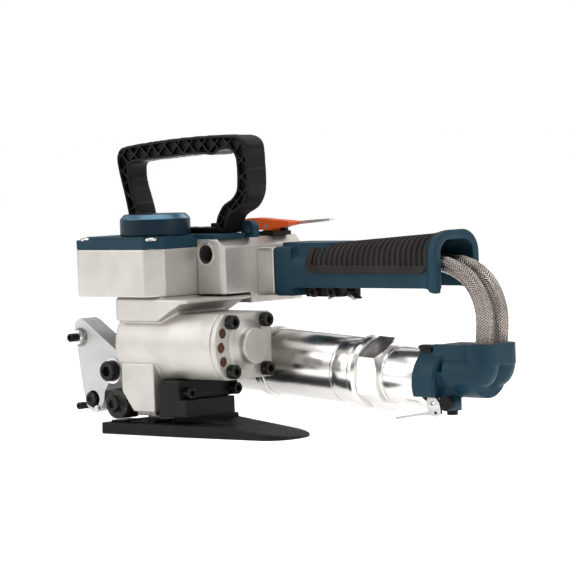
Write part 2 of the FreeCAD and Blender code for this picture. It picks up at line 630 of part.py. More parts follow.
# ---------------------------------------------------------------- handle
def handle_blank(label, grow, front, end, low):
    """The handle's outer shape, a bar with a rounded back that rises towards its end.

    It is grown or shrunk all round, and cut square at its front, its end and its low side."""
    bar = box(label + "_bar", ("0", "250"), ("0", "1"), ("0", "bar_height"))
    bind(bar, "Width", f"handle_far - handle_near + 2 * {grow}")
    bar.Placement = FreeCAD.Placement(Vector(), Rotation(Vector(0, 1, 0), -SIZES["handle_rise"]))
    bind(bar, "Placement.Base.x", "flange_right - 60")
    bind(bar, "Placement.Base.y", f"handle_near - {grow}")
    bind(bar, "Placement.Base.z", f"handle_high + {grow} - bar_height * cos(handle_rise)"
         " - (68 + bar_height * sin(handle_rise)) * tan(handle_rise)")

    def back_edge(edge):
        bounds = edge.BoundBox
        return bounds.XLength > 200 and bounds.ZMax > 130 and bounds.YLength < 0.1
    soft = rounded(label + "_soft", bar, SIZES["handle_round"] + grow, back_edge)
    return common(label, soft, box(label + "_zone", (front, end), (0, 140), (low, 190)))


def handle():
    adapter = box("adapter_block", ("rear_right", "adapter_right"), ("handle_near", "handle_far"),
                  ("adapter_low", "adapter_high"))
    adapter = rounded("adapter_round", adapter, 3, along("x"))
    ports = [rod(f"adapter_port_{i}", "x", (y, "hose_high"), 40, 70, "hose_radius + 0.5")
             for i, y in enumerate(("hose_near_y", "hose_far_y"))]
    keep(cut("handle_adapter", adapter, *ports))
    flange = box("flange_block", ("adapter_right + 0.6", "flange_right"), ("handle_near", "handle_far"),
                 ("adapter_low", "adapter_high"))
    flange = rounded("flange_round", flange, 3, along("x"))
    outer = handle_blank("handle_outer", 0, "flange_right", "handle_end", "handle_low")
    hollow = handle_blank("handle_hollow", -SIZES["handle_wall"], "flange_right - 1", "handle_end + 6", 80)
    bores = [rod(f"flange_port_{i}", "x", (y, "hose_high"), 60, 90, "hose_radius + 0.5")
             for i, y in enumerate(("hose_near_y", "hose_far_y"))]
    shell = cut("handle_channel", outer, hollow)
    keep(fuse("handle_shell", cut_in_turn("handle_flange", flange, *bores), shell))
    grown = handle_blank("grip_outer", SIZES["grip_proud"], "flange_right", "handle_end", 90)
    core = handle_blank("grip_core", 0.02, "flange_right", "handle_end", 80)
    zone = box("grip_zone", ("grip_start", "grip_stop"), (0, 140), ("grip_low", 160))
    grip = cut("grip_sleeve", common("grip_band", grown, zone), core)
    grooves = []
    for i in range(20):
        start = f"grip_start + 7 + {i} * 5.2"
        grooves.append(box(f"grip_groove_{i}", (start, f"{start} + 2.2"), (0, 140), (0, 1)))
    for groove in grooves:
        bind(groove, "Height", "160 - grip_low - 4")
        bind(groove, "Placement.Base.z", "grip_low + 4")
    floor = handle_blank("grip_floor", 1.0, "flange_right", "handle_end", 80)
    trough = cut("grip_trough", fuse("grip_grooves", *grooves), floor)
    keep(cut("grip_insert", grip, trough))


def carry_handle():
    outer = [(-54, "cover_tier"), (-59, 162), (-65, 183), (-67, 195), (-61, 200.5), (-24, 205), (16, 207.6),
             (54, 207.4), (61.8, 203), (63, 190), (63, 168), (56, 157), (43, 150), (38, "cover_tier")]
    inner = [(-45, 142.5), (-48.5, 158), (-54.5, 176), (-55, 187), (-51, 190), (-24, 192), (16, 194.4),
             (32, 194), (36, 196.5), (47, 196.5), (52, 190), (52, 170), (47, 163), (38, 158), (32, 150),
             (30, 142.5)]
    loop = padded("carry_outer", "XZ_Plane", outer, "carry_far - carry_near", y="carry_far")
    gap = padded("carry_inner", "XZ_Plane", inner, "carry_far - carry_near + 4", y="carry_far + 2")
    soft = rounded("carry_soft", cut("carry_loop", loop, gap), 2.5,
                   lambda edge: along("y")(edge) and edge.BoundBox.ZMin > SIZES["cover_tier"] + 1)
    spots = CARRY_SCREWS
    holes = [rod(f"carry_hole_{i}", "z", spot, 120, 148, 2.55) for i, spot in enumerate(spots)]
    keep(cut("carry_handle", soft, *holes))
    return [cap_screw(f"carry_screw_{i}", "z", spot, 142.5, 1, 4, 2.5, 16, 3)
            for i, spot in enumerate(spots)]


def handle_lug():
    plate = box("lug_block", (40, 52), (45, 51), ("rear_top", 141))
    arch = rod("lug_arch", "y", (46, 141), 45, 51, 6)
    eye = rod("lug_eye", "y", (46, 141), 40, 56, 2.6)
    base = cut("lug_body", fuse("lug_blank", plate, arch), eye)
    keep(common("suspension_lug", base, box("lug_zone", (30, 46.5 + 5.5), (45, 51), ("rear_top", 150))))


# ---------------------------------------------------------------- link plate and pivot
def link_plate():
    side = [(-62, 17), (-55.7, 13.4), (-48.5, 16), (-44.8, 22), (-43.6, 29), (-39, 34.8), (-31, 37),
            (-22, 37.6), (-22, 55), (-30, 58), (-62, 78.5), (-67, 80.5), (-71.5, 78), (-72.5, 73), (-66, 30)]
    blank = padded("link_blank", "XZ_Plane", side, "link_far - link_near", y="link_far")
    blank = rounded("link_round", blank, 2, along("y"))
    tools = [
        rod("pivot_hole", "y", PIVOT, "link_near - 1", "link_far + 1", "pivot_radius + 0.03"),
        rod("bolt_hole", "y", ("link_bolt_x", "link_bolt_z"), -20, 20, 3.05),
        rod("stop_hole", "y", ("stop_x", "stop_z"), -20, 20, 3.05),
        box("casting_face", ("barrel_left - 0.02", 0), (-30, 30), (0, 120)),
    ]
    keep(cut("link_plate", blank, *tools))
    stop = rod("stop_rod", "y", ("stop_x", "stop_z"), "link_near - 10.6", "link_far + 1", 3)
    socket = hexagon("stop_socket", "y", ("stop_x", "stop_z"), "link_near - 12", "link_near - 8.4", 1.7)
    keep(cut("stop_screw", stop, socket))
    nut = hexagon("nut_blank", "y", ("stop_x", "stop_z"), "link_near - 5", "link_near", 5.8)
    keep(cut("lock_nut", nut, rod("nut_hole", "y", ("stop_x", "stop_z"), -30, 0, 3.02)))
    return cap_screw("link_bolt", "y", ("link_bolt_x", "link_bolt_z"), "link_near", -1, 7.2, 3, 26, 7)


def pivot():
    shaft = rod("pivot_rod", "y", PIVOT, "link_near + 4", "case_near + 3.6", "pivot_radius")
    tap = hexagon("pivot_socket", "y", PIVOT, "link_near", "link_near + 7", 3)
    keep(cut("pivot_shaft", shaft, tap))


# ---------------------------------------------------------------- rocker: gear case and motor
def gear_case():
    drum = rod("case_drum", "y", CROSS, "case_near", "case_far", "case_radius")
    lobe = rod("case_lobe", "y", FEED, "case_near", "gear_near + gear_width + 3", 17.4)
    ear = rod("case_ear", "y", PIVOT, "case_near", "gear_near + gear_width + 3", 11)
    web = padded("case_web", "XZ_Plane",
                 [("feed_x - 4", "feed_z - 17.6"), ("pivot_x", "pivot_z - 11"), ("pivot_x - 11", "pivot_z"),
                  (f"{CROSS_X} - 28", CROSS_Z), (f"{CROSS_X} + 20", f"{CROSS_Z} + 20"),
                  ("feed_x + 14", "feed_z + 11")],
                 "gear_near + gear_width + 3 - case_near", y="gear_near + gear_width + 3")
    spigot = motor_piece(rod("case_spigot", "z", (0, 0), 0, 1, 24.8), 10)
    bind(spigot, "Height", "tube_start - 10")
    blank = fuse("case_blank", drum, lobe, ear, web, spigot)
    tunnel = motor_piece(rod("case_tunnel", "z", (0, 0), 0, 1, 18), 0)
    bind(tunnel, "Height", "tube_start + 1")
    seat = motor_piece(rod("case_tube_seat", "z", (0, 0), 0, 1, "tube_radius + 0.02"), "tube_start")
    bind(seat, "Height", "40")
    tools = [
        rod("cross_room", "y", CROSS, "gear_near - 0.4", "case_far - 6", "case_room"),
        rod("feed_room", "y", FEED, "gear_near - 0.4", "gear_near + gear_width + 0.4", 15.8),
        rod("feed_bore", "y", FEED, 30, 60, 5.05),
        rod("pivot_bore", "y", PIVOT, 30, "case_near + 3.8", "pivot_radius + 0.03"),
        rod("cross_bore", "y", CROSS, 30, 110, 5.05),
        tunnel,
        seat,
    ]
    keep(cut_in_turn("gear_case", blank, *tools))
    cover = rod("lid_disc", "y", CROSS, "case_far + 0.02", "case_far + 3", "case_radius - 1")
    lid_hole = rod("lid_hole", "y", CROSS, 90, 110, 5.1)
    spots = [(f"{CROSS_X} + 25 * cos({60 * i})", f"{CROSS_Z} + 25 * sin({60 * i})") for i in range(6)]
    holes = [rod(f"lid_screw_hole_{i}", "y", spot, 90, 110, 1.55) for i, spot in enumerate(spots)]
    keep(cut("gear_case_lid", cover, lid_hole, *holes))
    group("gear_case_screws", [cap_screw(f"lid_screw_{i}", "y", spot, "case_far + 3", 1, 2.6, 1.5, 3)
                               for i, spot in enumerate(spots)])


def motor():
    groove_end = "tube_groove + groove_width"
    outline = [("tube_bore", "tube_start"), ("tube_radius", "tube_start"), ("tube_radius", "tube_groove"),
               ("tube_radius - 0.8", "tube_groove"), ("tube_radius - 0.8", groove_end),
               ("tube_radius", groove_end), ("tube_radius", "tube_end"), ("tube_bore", "tube_end")]
    keep(motor_piece(turned("motor_tube", outline)))
    band = [("tube_radius + 0.05", "band_start"), ("tube_radius + 1.6", "band_start"),
            ("tube_radius + 1.6", "band_end"), ("tube_radius + 0.05", "band_end")]
    keep(motor_piece(turned("motor_band", band)))
    collar = [("rear_radius - 4", "tube_end"), ("collar_radius", "tube_end"),
              ("collar_radius", "collar_end - 2"),
              ("collar_radius - 1.5", "collar_end"), ("rear_radius - 4", "collar_end")]
    keep(motor_piece(turned("motor_collar", collar)))
    nut = motor_piece(hexagon("nut_prism", "z", (0, 0), 0, 1, "nut_corner"), "collar_end")
    bind(nut, "Height", "nut_end - collar_end")
    hole = motor_piece(rod("nut_bore", "z", (0, 0), 0, 1, "rear_radius - 4"), 180)
    bind(hole, "Height", 60)
    keep(cut("motor_nut", nut, hole))
    rear = [("rear_radius - 4", "nut_end"), ("rear_radius", "nut_end"), ("rear_radius", "rear_end"),
            ("rear_radius - 4", "rear_end")]
    keep(motor_piece(turned("motor_rear_cylinder", rear)))
    rotor = [(0, 34), ("shaft_radius", 34), ("shaft_radius", 60), (15, 60), (15, 170), ("shaft_radius", 170),
             ("shaft_radius", 186), (0, 186)]
    keep(motor_piece(turned("tension_rotor", rotor)))
    bearings = []
    for i, start in enumerate((44, 174)):
        ring = [("shaft_radius + 0.05", start), ("tube_bore - 0.05", start), ("tube_bore - 0.05", start + 8),
                ("shaft_radius + 0.05", start + 8)]
        bearings.append(motor_piece(turned(f"tension_bearing_{i}", ring)))
    group("tension_motor_bearings", bearings)
    sleeve = motor_piece(rod("tension_sleeve", "z", (0, 0), 0, 1, "tube_bore - 0.05"), 54)
    bore = motor_piece(rod("tension_sleeve_bore", "z", (0, 0), 0, 1, 16.4), 50)
    for thing, length in ((sleeve, 118), (bore, 130)):
        bind(thing, "Height", length)
    bind(bore, "Placement.Base.y", "motor_y + 1")
    keep(cut("tension_motor_liner", sleeve, bore))


def elbow():
    side = [("elbow_left", "elbow_low"), ("elbow_right - 24", "elbow_low"),
            ("elbow_right - 12", "elbow_low + 4"), ("elbow_right - 3", "elbow_low + 13"),
            ("elbow_right", "elbow_low + 26"), ("elbow_right", "elbow_top"), ("elbow_left", "elbow_top")]
    body = padded("elbow_body", "XZ_Plane", side, "39", y="motor_y + 19.5")
    body = rounded("elbow_mouth", body, 8, lambda edge: along("z")(edge)
                   and edge.BoundBox.XMin > SIZES["elbow_right"] - 0.1)
    body = rounded("elbow_soft", body, 7, lambda edge: edge.BoundBox.YLength < 0.1
                   and edge.BoundBox.ZMax < SIZES["elbow_top"] - 0.5
                   and edge.BoundBox.XMin > SIZES["elbow_left"] + 0.1)
    collar = [(0, "elbow_start"), ("elbow_radius - 1.5", "elbow_start"),
              ("elbow_radius", "elbow_start + 1.5"),
              ("elbow_radius", "elbow_end"), (0, "elbow_end + 2")]
    collar = motor_piece(turned("elbow_collar", collar))
    collar = cut("elbow_collar_flat", collar, box("elbow_flat", (180, 230), (40, 100), (0, "collar_cut")))
    boss = fuse("elbow_boss", rod("boss_post", "z", (215, 62), 17, "elbow_low + 1", 6.5),
                rod("boss_stub", "y", (218.5, 22.6), 55.4, 62, 5.2))
    ports = [rod(f"elbow_port_{i}", "z", ("hose_x", y), "hose_low - 6", 70, "hose_radius + 0.05")
             for i, y in enumerate(("hose_near_y", "hose_far_y"))]
    gallery = motor_piece(rod("elbow_gallery", "z", (0, 0), 0, 1, 6), "elbow_start - 1")
    bind(gallery, "Height", 56)
    keep(cut_in_turn("hose_elbow", fuse("elbow_blank", body, collar, boss), gallery, *ports))
    cap = rod("boss_cap", "y", (218.5, 22.6), 50.4, 55.38, 5.2)
    foot = rod("boss_foot", "z", (215, 62), 14, 16.98, 3.8)
    pin = rod("bracket_pin", "y", (206, 15.6), 54.5, 60.5, 1)
    group("elbow_plugs", [cap, foot, pin])
    plate_side = [(199, 25.9), (206, 25.9), (210, 22), (210.5, 15), (205, 12.5), (199.5, 14), (198, 21)]
    plate = padded("bracket_plate", "XZ_Plane", plate_side, "2", y="57")
    arm = box("bracket_arm", (199, 208), (56.9, 63), (23.5, 25.98))
    eye = rod("bracket_eye", "y", (203.5, 22), 50, 60, 1.7)
    hinge = rod("bracket_hinge", "y", (206, 15.6), 50, 60, 1.05)
    keep(cut("elbow_bracket", fuse("bracket_blank", plate, arm), eye, hinge))
    lever_side = [(168, 9.8), (186, 12.6), (207, 14), (207.6, 16.5), (205, 17.4), (186, 14.2), (167.6, 11.3)]
    lever = padded("elbow_lever_blade", "XZ_Plane", lever_side, "2.4", y="60")
    keep(cut("elbow_lever", lever, rod("elbow_lever_eye", "y", (206, 15.6), 50, 70, 1.06)))


def hose(label, y):
    """A braided hose from the handle flange, over its bend and down into the elbow."""
    high = SIZES["hose_high"]
    bend = SIZES["hose_bend"]
    right = SIZES["hose_x"]
    low = SIZES["hose_low"]
    front = SIZES["hose_front"]
    corner = Vector(right - bend, y, high - bend)
    top = corner + Vector(0, 0, bend)
    middle = corner + Vector(bend * math.sqrt(0.5), 0, bend * math.sqrt(0.5))
    side = corner + Vector(bend, 0, 0)
    start = Vector(front, y, high)
    end = Vector(right, y, low)
    path = Part.Wire([Part.LineSegment(start, top).toShape(), Part.Arc(top, middle, side).toShape(),
                      Part.LineSegment(side, end).toShape()])
    ring = Part.Wire(Part.Circle(start, Vector(1, 0, 0), SIZES["hose_radius"]).toShape())
    tube = path.makePipeShell([ring], True, True)
    thing = add("Part::Feature", label)
    thing.Shape = tube
    length = path.Length
    expected = math.pi * SIZES["hose_radius"] ** 2 * length
    print(f"{label}: length {length:.1f}, bend radius {bend:.1f}, volume ratio {tube.Volume / expected:.4f}")
    return thing


def hoses():
    group("braided_hoses", [hose("hose_near", SIZES["hose_near_y"]), hose("hose_far", SIZES["hose_far_y"])])


# ---------------------------------------------------------------- feed train
def feed_train():
    shaft = rod("feed_rod", "y", FEED, "wheel_near - 2", "gear_near + gear_width + 2.6", 5)
    keep(shaft, "feed_shaft")
    wheel = rod("wheel_disc", "y", FEED, "wheel_near", "wheel_near + wheel_width", "wheel_radius - 0.3")
    hole = rod("wheel_hole", "y", FEED, -40, 20, 5.02)
    notches = []
    for i in range(36):
        angle = 10 * i
        notch = rod(f"wheel_notch_{i}", "y", (f"feed_x + wheel_radius * cos({angle})",
                                              f"feed_z + wheel_radius * sin({angle})"), -40, 20, 0.55)
        notches.append(notch)
    keep(cut("feed_wheel", wheel, hole, *notches))
    keep(cap_screw("wheel_screw", "y", FEED, "wheel_near - 2", -1, 6, 2, 0, 3), "wheel_screw")
    spur_gear("feed_gear", "feed_teeth", FEED_PHASE, 5.02, "feed_x", "gear_near", "feed_z")
    spur_gear("cross_gear", "cross_teeth", CROSS_PHASE, 5.02, CROSS_X, "gear_near", CROSS_Z)
    keep(rod("cross_rod", "y", CROSS, "case_near + 0.2", "case_far + 2", 5), "cross_shaft")


# The line of centres runs up and back from the feed shaft. A tooth of the cross gear points along
# it and a gap of the feed gear faces that tooth.
TOWARDS_CROSS = math.radians(180 + SIZES["gear_angle"])
FEED_PHASE = TOWARDS_CROSS + math.pi / SIZES["feed_teeth"]
CROSS_PHASE = TOWARDS_CROSS + math.pi


def bevel_gear(label, teeth, own, mate, phase, hub):
    """A straight bevel gear about its own Z, apex at the origin, with its hub cylinder."""
    cone_length = SIZES["bevel_cone"]
    angle = math.atan2(own, mate)
    height = cone_length * math.cos(angle)
    module = 2 * cone_length * math.sin(angle) / teeth
    rings = []
    for scale in (1.0, 0.68):
        points = [Vector(p.x * scale, p.y * scale, height * scale)
                  for p in tooth_outline(teeth, module, phase, SIZES["bevel_slim"],
                                        SIZES["bevel_tip"])]
        rings.append(Part.makePolygon(points + points[:1]))
    solid = Part.makeLoft(rings, True, True)
    return height, solid.fuse(hub(height))


def bevel_pair():
    small, large = int(SIZES["pinion_teeth"]), int(SIZES["crown_teeth"])

    def pinion_hub(height):
        return Part.makeCylinder(8, 34 - height, Vector(0, 0, height - 0.01))

    def crown_hub(height):
        return Part.makeCylinder(14, 8, Vector(0, 0, height - 0.01))
    pinion = add("Part::Feature", "bevel_pinion")
    pinion.Shape = bevel_gear("pinion", small, small, large, -math.pi / 2 + math.pi / small, pinion_hub)[1]
    keep(motor_piece(pinion))
    crown = add("Part::Feature", "bevel_gear")
    solid = bevel_gear("crown", large, large, small, math.radians(-SIZES["motor_tilt"]), crown_hub)[1]
    crown.Shape = solid.cut(Part.makeCylinder(5.02, 60))
    crown.Placement = FreeCAD.Placement(Vector(), Rotation(Vector(1, 0, 0), 90))
    for axis, text in zip("xyz", (CROSS_X, "motor_y", CROSS_Z)):
        bind(crown, f"Placement.Base.{axis}", text)
    keep(crown)


# ---------------------------------------------------------------- control levers
def levers():
    pivot_spot = ("lever_pivot_x", "lever_pivot_z")
    cheeks = box("lever_base", (30, 47), ("lever_y - 9", "lever_y + 9"), ("rear_top", 138))
    posts = [box(f"lever_post_{i}", (35.5, 44.5), (f"lever_y + {a}", f"lever_y + {b}"), (137, 144.5))
             for i, (a, b) in enumerate(((-9, -6.3), (6.3, 9)))]
    bore = rod("lever_bore", "y", pivot_spot, "lever_y - 20", "lever_y + 20", 1.55)
    keep(cut("lever_block", fuse("lever_block_blank", cheeks, *posts), bore))
    pin = rod("lever_pin", "y", pivot_spot, "lever_y - 9", "lever_y + 9", 1.5)
    side = [(14, 141), (18, 138.6), (36, 138.8), (44, 139.2), (60, 142.4), (60.5, 145), (44, 145.4),
            (18, 147)]
    tab = padded("weld_lever_body", "XZ_Plane", side, "7", y="lever_y + 0.8")
    tab = rounded("weld_lever_soft", tab, 1, along("y"))
    bore = rod("weld_lever_bore", "y", pivot_spot, "lever_y - 20", "lever_y + 20", 1.56)
    keep(cut("weld_lever", tab, bore))
    steel_side = [(37, 139.6), (45, 139.6), (62, 142.4), (91, 144.6), (91, 146.4), (61, 145), (45, 143.6),
                  (37, 143.4)]
    steel = padded("tension_lever_body", "XZ_Plane", steel_side, "4.4", y="lever_y + 6")
    steel_bore = rod("tension_lever_bore", "y", pivot_spot, "lever_y - 20", "lever_y + 20", 1.56)
    keep(cut("tension_lever", steel, steel_bore))
    valve = box("valve_block", (84.5, 118), (62, 82), (92.6, 107.5))
    slot = box("valve_slot", (96, 120), (67.5, 76.5), (85, 100.4))
    screw_spots = ((93.5, 96.2), (110.5, 96.2))
    taps = [rod(f"valve_tap_{i}", "y", spot, 60, 67, 1.55) for i, spot in enumerate(screw_spots)]
    hinge_hole = rod("valve_hinge_hole", "y", ("trigger_x", "trigger_z"), 64, 80.1, 1.02)
    keep(cut("handle_valve", valve, slot, hinge_hole, *taps))
    trigger_pin = rod("trigger_pin", "y", ("trigger_x", "trigger_z"), 64.2, 79.9, 1)
    group("lever_pins", [pin, trigger_pin])
    trigger_side = [(99, 91.2), (100.5, 90.2), (112.6, 95.2), (124, 89.8), (125.4, 91), (114.4, 99),
                    (111.6, 99)]
    blade = padded("trigger_blade", "XZ_Plane", trigger_side, "8", y="handle_y + 4")
    keep(cut("handle_trigger", blade, rod("trigger_bore", "y", ("trigger_x", "trigger_z"), 60, 90, 1.06)))
    return [cap_screw(f"valve_screw_{i}", "y", spot, 62, -1, 3.9, 1.5, 4.5, 3.2)
            for i, spot in enumerate(screw_spots)]


def main():
    body_screws = base_plate()
    group("strap_plates", [strap_plate("gripper_plate", -34, -20, 6), strap_plate("anvil_plate", -14, 9, 9)])
    main_casting()
    body_screws += end_cover()
    weld_motor()
    weld_press()
    body_screws += guide_block()
    upper_housing()
    upper_screws = top_cover()
    cylinder_cap()
    rear_block()
    handle()
    upper_screws += carry_handle()
    handle_lug()
    body_screws.append(link_plate())
    group("body_screws", body_screws)
    pivot()
    gear_case()
    motor()
    elbow()
    hoses()
    feed_train()
    bevel_pair()
    upper_screws += levers()
    group("upper_screws", upper_screws)


def export():
    """Check every object, then write one STEP file for each piece."""
    document.recompute()
    for thing in document.Objects:
        if "Invalid" in thing.State or "Error" in thing.State:
            raise RuntimeError(f"{thing.Label} failed: {thing.State}")
    os.makedirs("parts", exist_ok=True)
    for piece in PARTS:
        if piece.Shape.isNull() or not piece.Shape.isValid():
            raise RuntimeError(f"{piece.Label} has no valid shape")
        piece.Shape.exportStep(f"parts/{piece.Label}.step")
    print(len(PARTS), "pieces")


main()
export()
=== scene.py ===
"""Pneumatic strapping tool: materials, finished shapes, floor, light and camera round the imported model.

Lengths in the shape functions are millimetres; MM turns them into Blender's metres.
"""
import bmesh
import bpy
import json
import math
import numpy as np
from mathutils import Matrix, Vector


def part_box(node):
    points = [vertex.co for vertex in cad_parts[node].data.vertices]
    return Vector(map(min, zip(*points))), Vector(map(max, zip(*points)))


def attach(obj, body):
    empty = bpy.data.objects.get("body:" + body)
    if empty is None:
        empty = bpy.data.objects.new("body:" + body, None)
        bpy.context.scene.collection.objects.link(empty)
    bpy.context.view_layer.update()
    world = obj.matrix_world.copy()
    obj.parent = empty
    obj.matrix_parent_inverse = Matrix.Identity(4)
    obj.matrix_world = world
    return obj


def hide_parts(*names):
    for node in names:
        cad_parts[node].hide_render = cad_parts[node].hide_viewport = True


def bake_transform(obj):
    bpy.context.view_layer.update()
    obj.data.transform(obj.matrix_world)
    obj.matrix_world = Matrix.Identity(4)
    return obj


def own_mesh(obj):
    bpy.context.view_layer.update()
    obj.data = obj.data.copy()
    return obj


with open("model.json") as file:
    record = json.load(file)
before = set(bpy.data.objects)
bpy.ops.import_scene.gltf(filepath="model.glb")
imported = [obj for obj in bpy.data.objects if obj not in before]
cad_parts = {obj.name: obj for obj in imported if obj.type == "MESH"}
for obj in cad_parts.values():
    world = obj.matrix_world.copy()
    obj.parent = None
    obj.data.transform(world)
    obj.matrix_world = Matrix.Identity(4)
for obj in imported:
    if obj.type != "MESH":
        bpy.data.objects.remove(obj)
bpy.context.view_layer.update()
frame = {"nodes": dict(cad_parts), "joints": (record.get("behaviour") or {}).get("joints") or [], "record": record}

MM = 0.001
NODES = frame["nodes"]
NODE_BODY = {node: body for body, nodes in frame["record"]["behaviour"]["bodies"].items() for node in nodes}
NODE_SLOT = {part["node"]: part["material_slot"] for part in frame["record"]["subparts"]}
JOINTS = {joint["name"]: joint for joint in frame["joints"]}

NEARWARD = (0, -1, 0)

# Places in millimetres.
PORT = (31.2, 17.5, 124.4)
BARREL = (13, 61.7)
STUD = (-66.5, -13, 67)
BIG_BOLT = (-34.5, -13, 43.6)
LEVER_AXIS = (40, 141.5)
SOLE_SPOTS = ((-14, 20), (-14, 31), (6, 20), (6, 31))
COVER_SPOTS = ((-49.2, -20), (14.9, -19.2), (-25, 44.6), (14, 44.6))
CARRY_SPOTS = ((-36, 39), (22, 39))
HOSE_SIDES = {"near": 63.5, "far": 80.5}


# ---------------------------------------------------------------- camera, light and floor
# How bright the room is at each height of the world's ramp, from straight down to straight up.
ROOM_LEVELS = ((0.08, 1.0), (0.2, 0.16), (0.34, 0.12), (0.5, 0.9), (0.64, 1.0), (0.8, 0.3))


def camera():
    """A long lens from 2.4 m: 43 degrees round, 2.7 degrees down and rolled by 2."""
    place = Vector((1.68226, -1.66271, 0.21031))
    azimuth, down, roll = math.radians(43.116), math.radians(2.71), math.radians(1.996)
    ahead = Vector((-math.sin(azimuth) * math.cos(down), math.cos(azimuth) * math.cos(down), -math.sin(down)))
    right = ahead.cross(Vector((0, 0, 1))).normalized()
    up = right.cross(ahead)
    rolled_right = right * math.cos(roll) - up * math.sin(roll)
    rolled_up = up * math.cos(roll) + right * math.sin(roll)
    lens = bpy.data.cameras.new("camera")
    lens.sensor_width = 36
    lens.lens = 210.677
    lens.clip_end = 200
    thing = bpy.data.objects.new("camera", lens)
    axes = Matrix((rolled_right, rolled_up, -ahead)).transposed()
    thing.matrix_world = Matrix.Translation(place) @ axes.to_4x4()
    bpy.context.scene.collection.objects.link(thing)
    bpy.context.scene.camera = thing


def area_light(name, place, target, size, power):
    lamp = bpy.data.lights.new(name, "AREA")
    lamp.shape = "RECTANGLE"
    lamp.size, lamp.size_y = size
    lamp.energy = power
    thing = bpy.data.objects.new(name, lamp)
    thing.location = place
    thing.rotation_euler = (Vector(target) - Vector(place)).to_track_quat("-Z", "Y").to_euler()
    bpy.context.scene.collection.objects.link(thing)


def studio():
    """A pale floor, a bright room with a darker band above the horizon, and soft lamps."""
    middle = (0.08, 0.03, 0.08)
    area_light("top_softbox", (0.1, -0.1, 1.5), middle, (1.6, 1.6), 17)
    area_light("left_softbox", (-1.1, -1.3, 0.9), middle, (1.0, 1.2), 11)
    area_light("right_softbox", (1.6, 0.3, 0.7), middle, (0.8, 1.2), 7)
    area_light("rear_softbox", (0.2, 1.6, 0.8), middle, (1.4, 0.9), 8)
    floor = bpy.data.meshes.new("floor")
    reach = 60
    corners = [(-reach, -reach, 0), (reach, -reach, 0), (reach, reach, 0), (-reach, reach, 0)]
    floor.from_pydata(corners, [], [(0, 1, 2, 3)])
    thing = bpy.data.objects.new("floor", floor)
    bpy.context.scene.collection.objects.link(thing)
    paint = bpy.data.materials.new("floor_paper")
    paint.use_nodes = True
    shader = paint.node_tree.nodes["Principled BSDF"]
    shader.inputs["Base Color"].default_value = (0.93, 0.93, 0.925, 1)
    shader.inputs["Roughness"].default_value = 0.55
    shader.inputs["Specular IOR Level"].default_value = 0.25
    shader.inputs["Emission Color"].default_value = (1, 1, 1, 1)
    shader.inputs["Emission Strength"].default_value = 0.45
    floor.materials.append(paint)
    world = bpy.data.worlds.new("room")
    bpy.context.scene.world = world
    world.use_nodes = True
    nodes, links = world.node_tree.nodes, world.node_tree.links
    where = nodes.new("ShaderNodeTexCoord")
    split = nodes.new("ShaderNodeSeparateXYZ")
    ramp = nodes.new("ShaderNodeValToRGB")
    links.new(where.outputs["Generated"], split.inputs[0])
    links.new(split.outputs["Z"], ramp.inputs["Fac"])
    stops = ramp.color_ramp.elements
    stops[0].position, stops[0].color = 0.0, (1, 1, 1, 1)
    stops[1].position, stops[1].color = 1.0, (0.75, 0.75, 0.75, 1)
    for height, level in ROOM_LEVELS:
        stop = stops.new(height)
        stop.color = (level, level, level, 1)
    links.new(ramp.outputs["Color"], nodes["Background"].inputs["Color"])
    nodes["Background"].inputs["Strength"].default_value = 1.0
    bpy.context.scene.view_settings.view_transform = "Standard"


# ---------------------------------------------------------------- materials
def noise(tree, scale, detail, stretch=(1, 1, 1), distortion=0.0):
    """Noise over the object's own coordinates; scale is features per metre."""
    where = tree.nodes.new("ShaderNodeTexCoord")
    mapping = tree.nodes.new("ShaderNodeMapping")
    mapping.inputs["Scale"].default_value = stretch
    grain = tree.nodes.new("ShaderNodeTexNoise")
    grain.inputs["Scale"].default_value = scale
    grain.inputs["Detail"].default_value = detail
    grain.inputs["Distortion"].default_value = distortion
    tree.links.new(where.outputs["Object"], mapping.inputs["Vector"])
    tree.links.new(mapping.outputs["Vector"], grain.inputs["Vector"])
    return grain.outputs["Fac"]


def spread(tree, value, low, high, start=0.3, end=0.7):
    """Maps a value from start..end to low..high."""
    ranged = tree.nodes.new("ShaderNodeMapRange")
    for name, number in (("From Min", start), ("From Max", end), ("To Min", low), ("To Max", high)):
        ranged.inputs[name].default_value = number
    tree.links.new(value, ranged.inputs["Value"])
    return ranged.outputs["Result"]


def mix(tree, factor, first, second):
    """A colour between two, each given as a colour or an output."""
    blend = tree.nodes.new("ShaderNodeMix")
    blend.data_type = "RGBA"
    tree.links.new(factor, blend.inputs["Factor"])
    for socket, colour in (("A", first), ("B", second)):
        target = [s for s in blend.inputs if s.name == socket and s.type == "RGBA"][0]
        if isinstance(colour, tuple):
            target.default_value = (*colour, 1)
        else:
            tree.links.new(colour, target)
    return [s for s in blend.outputs if s.type == "RGBA"][0]


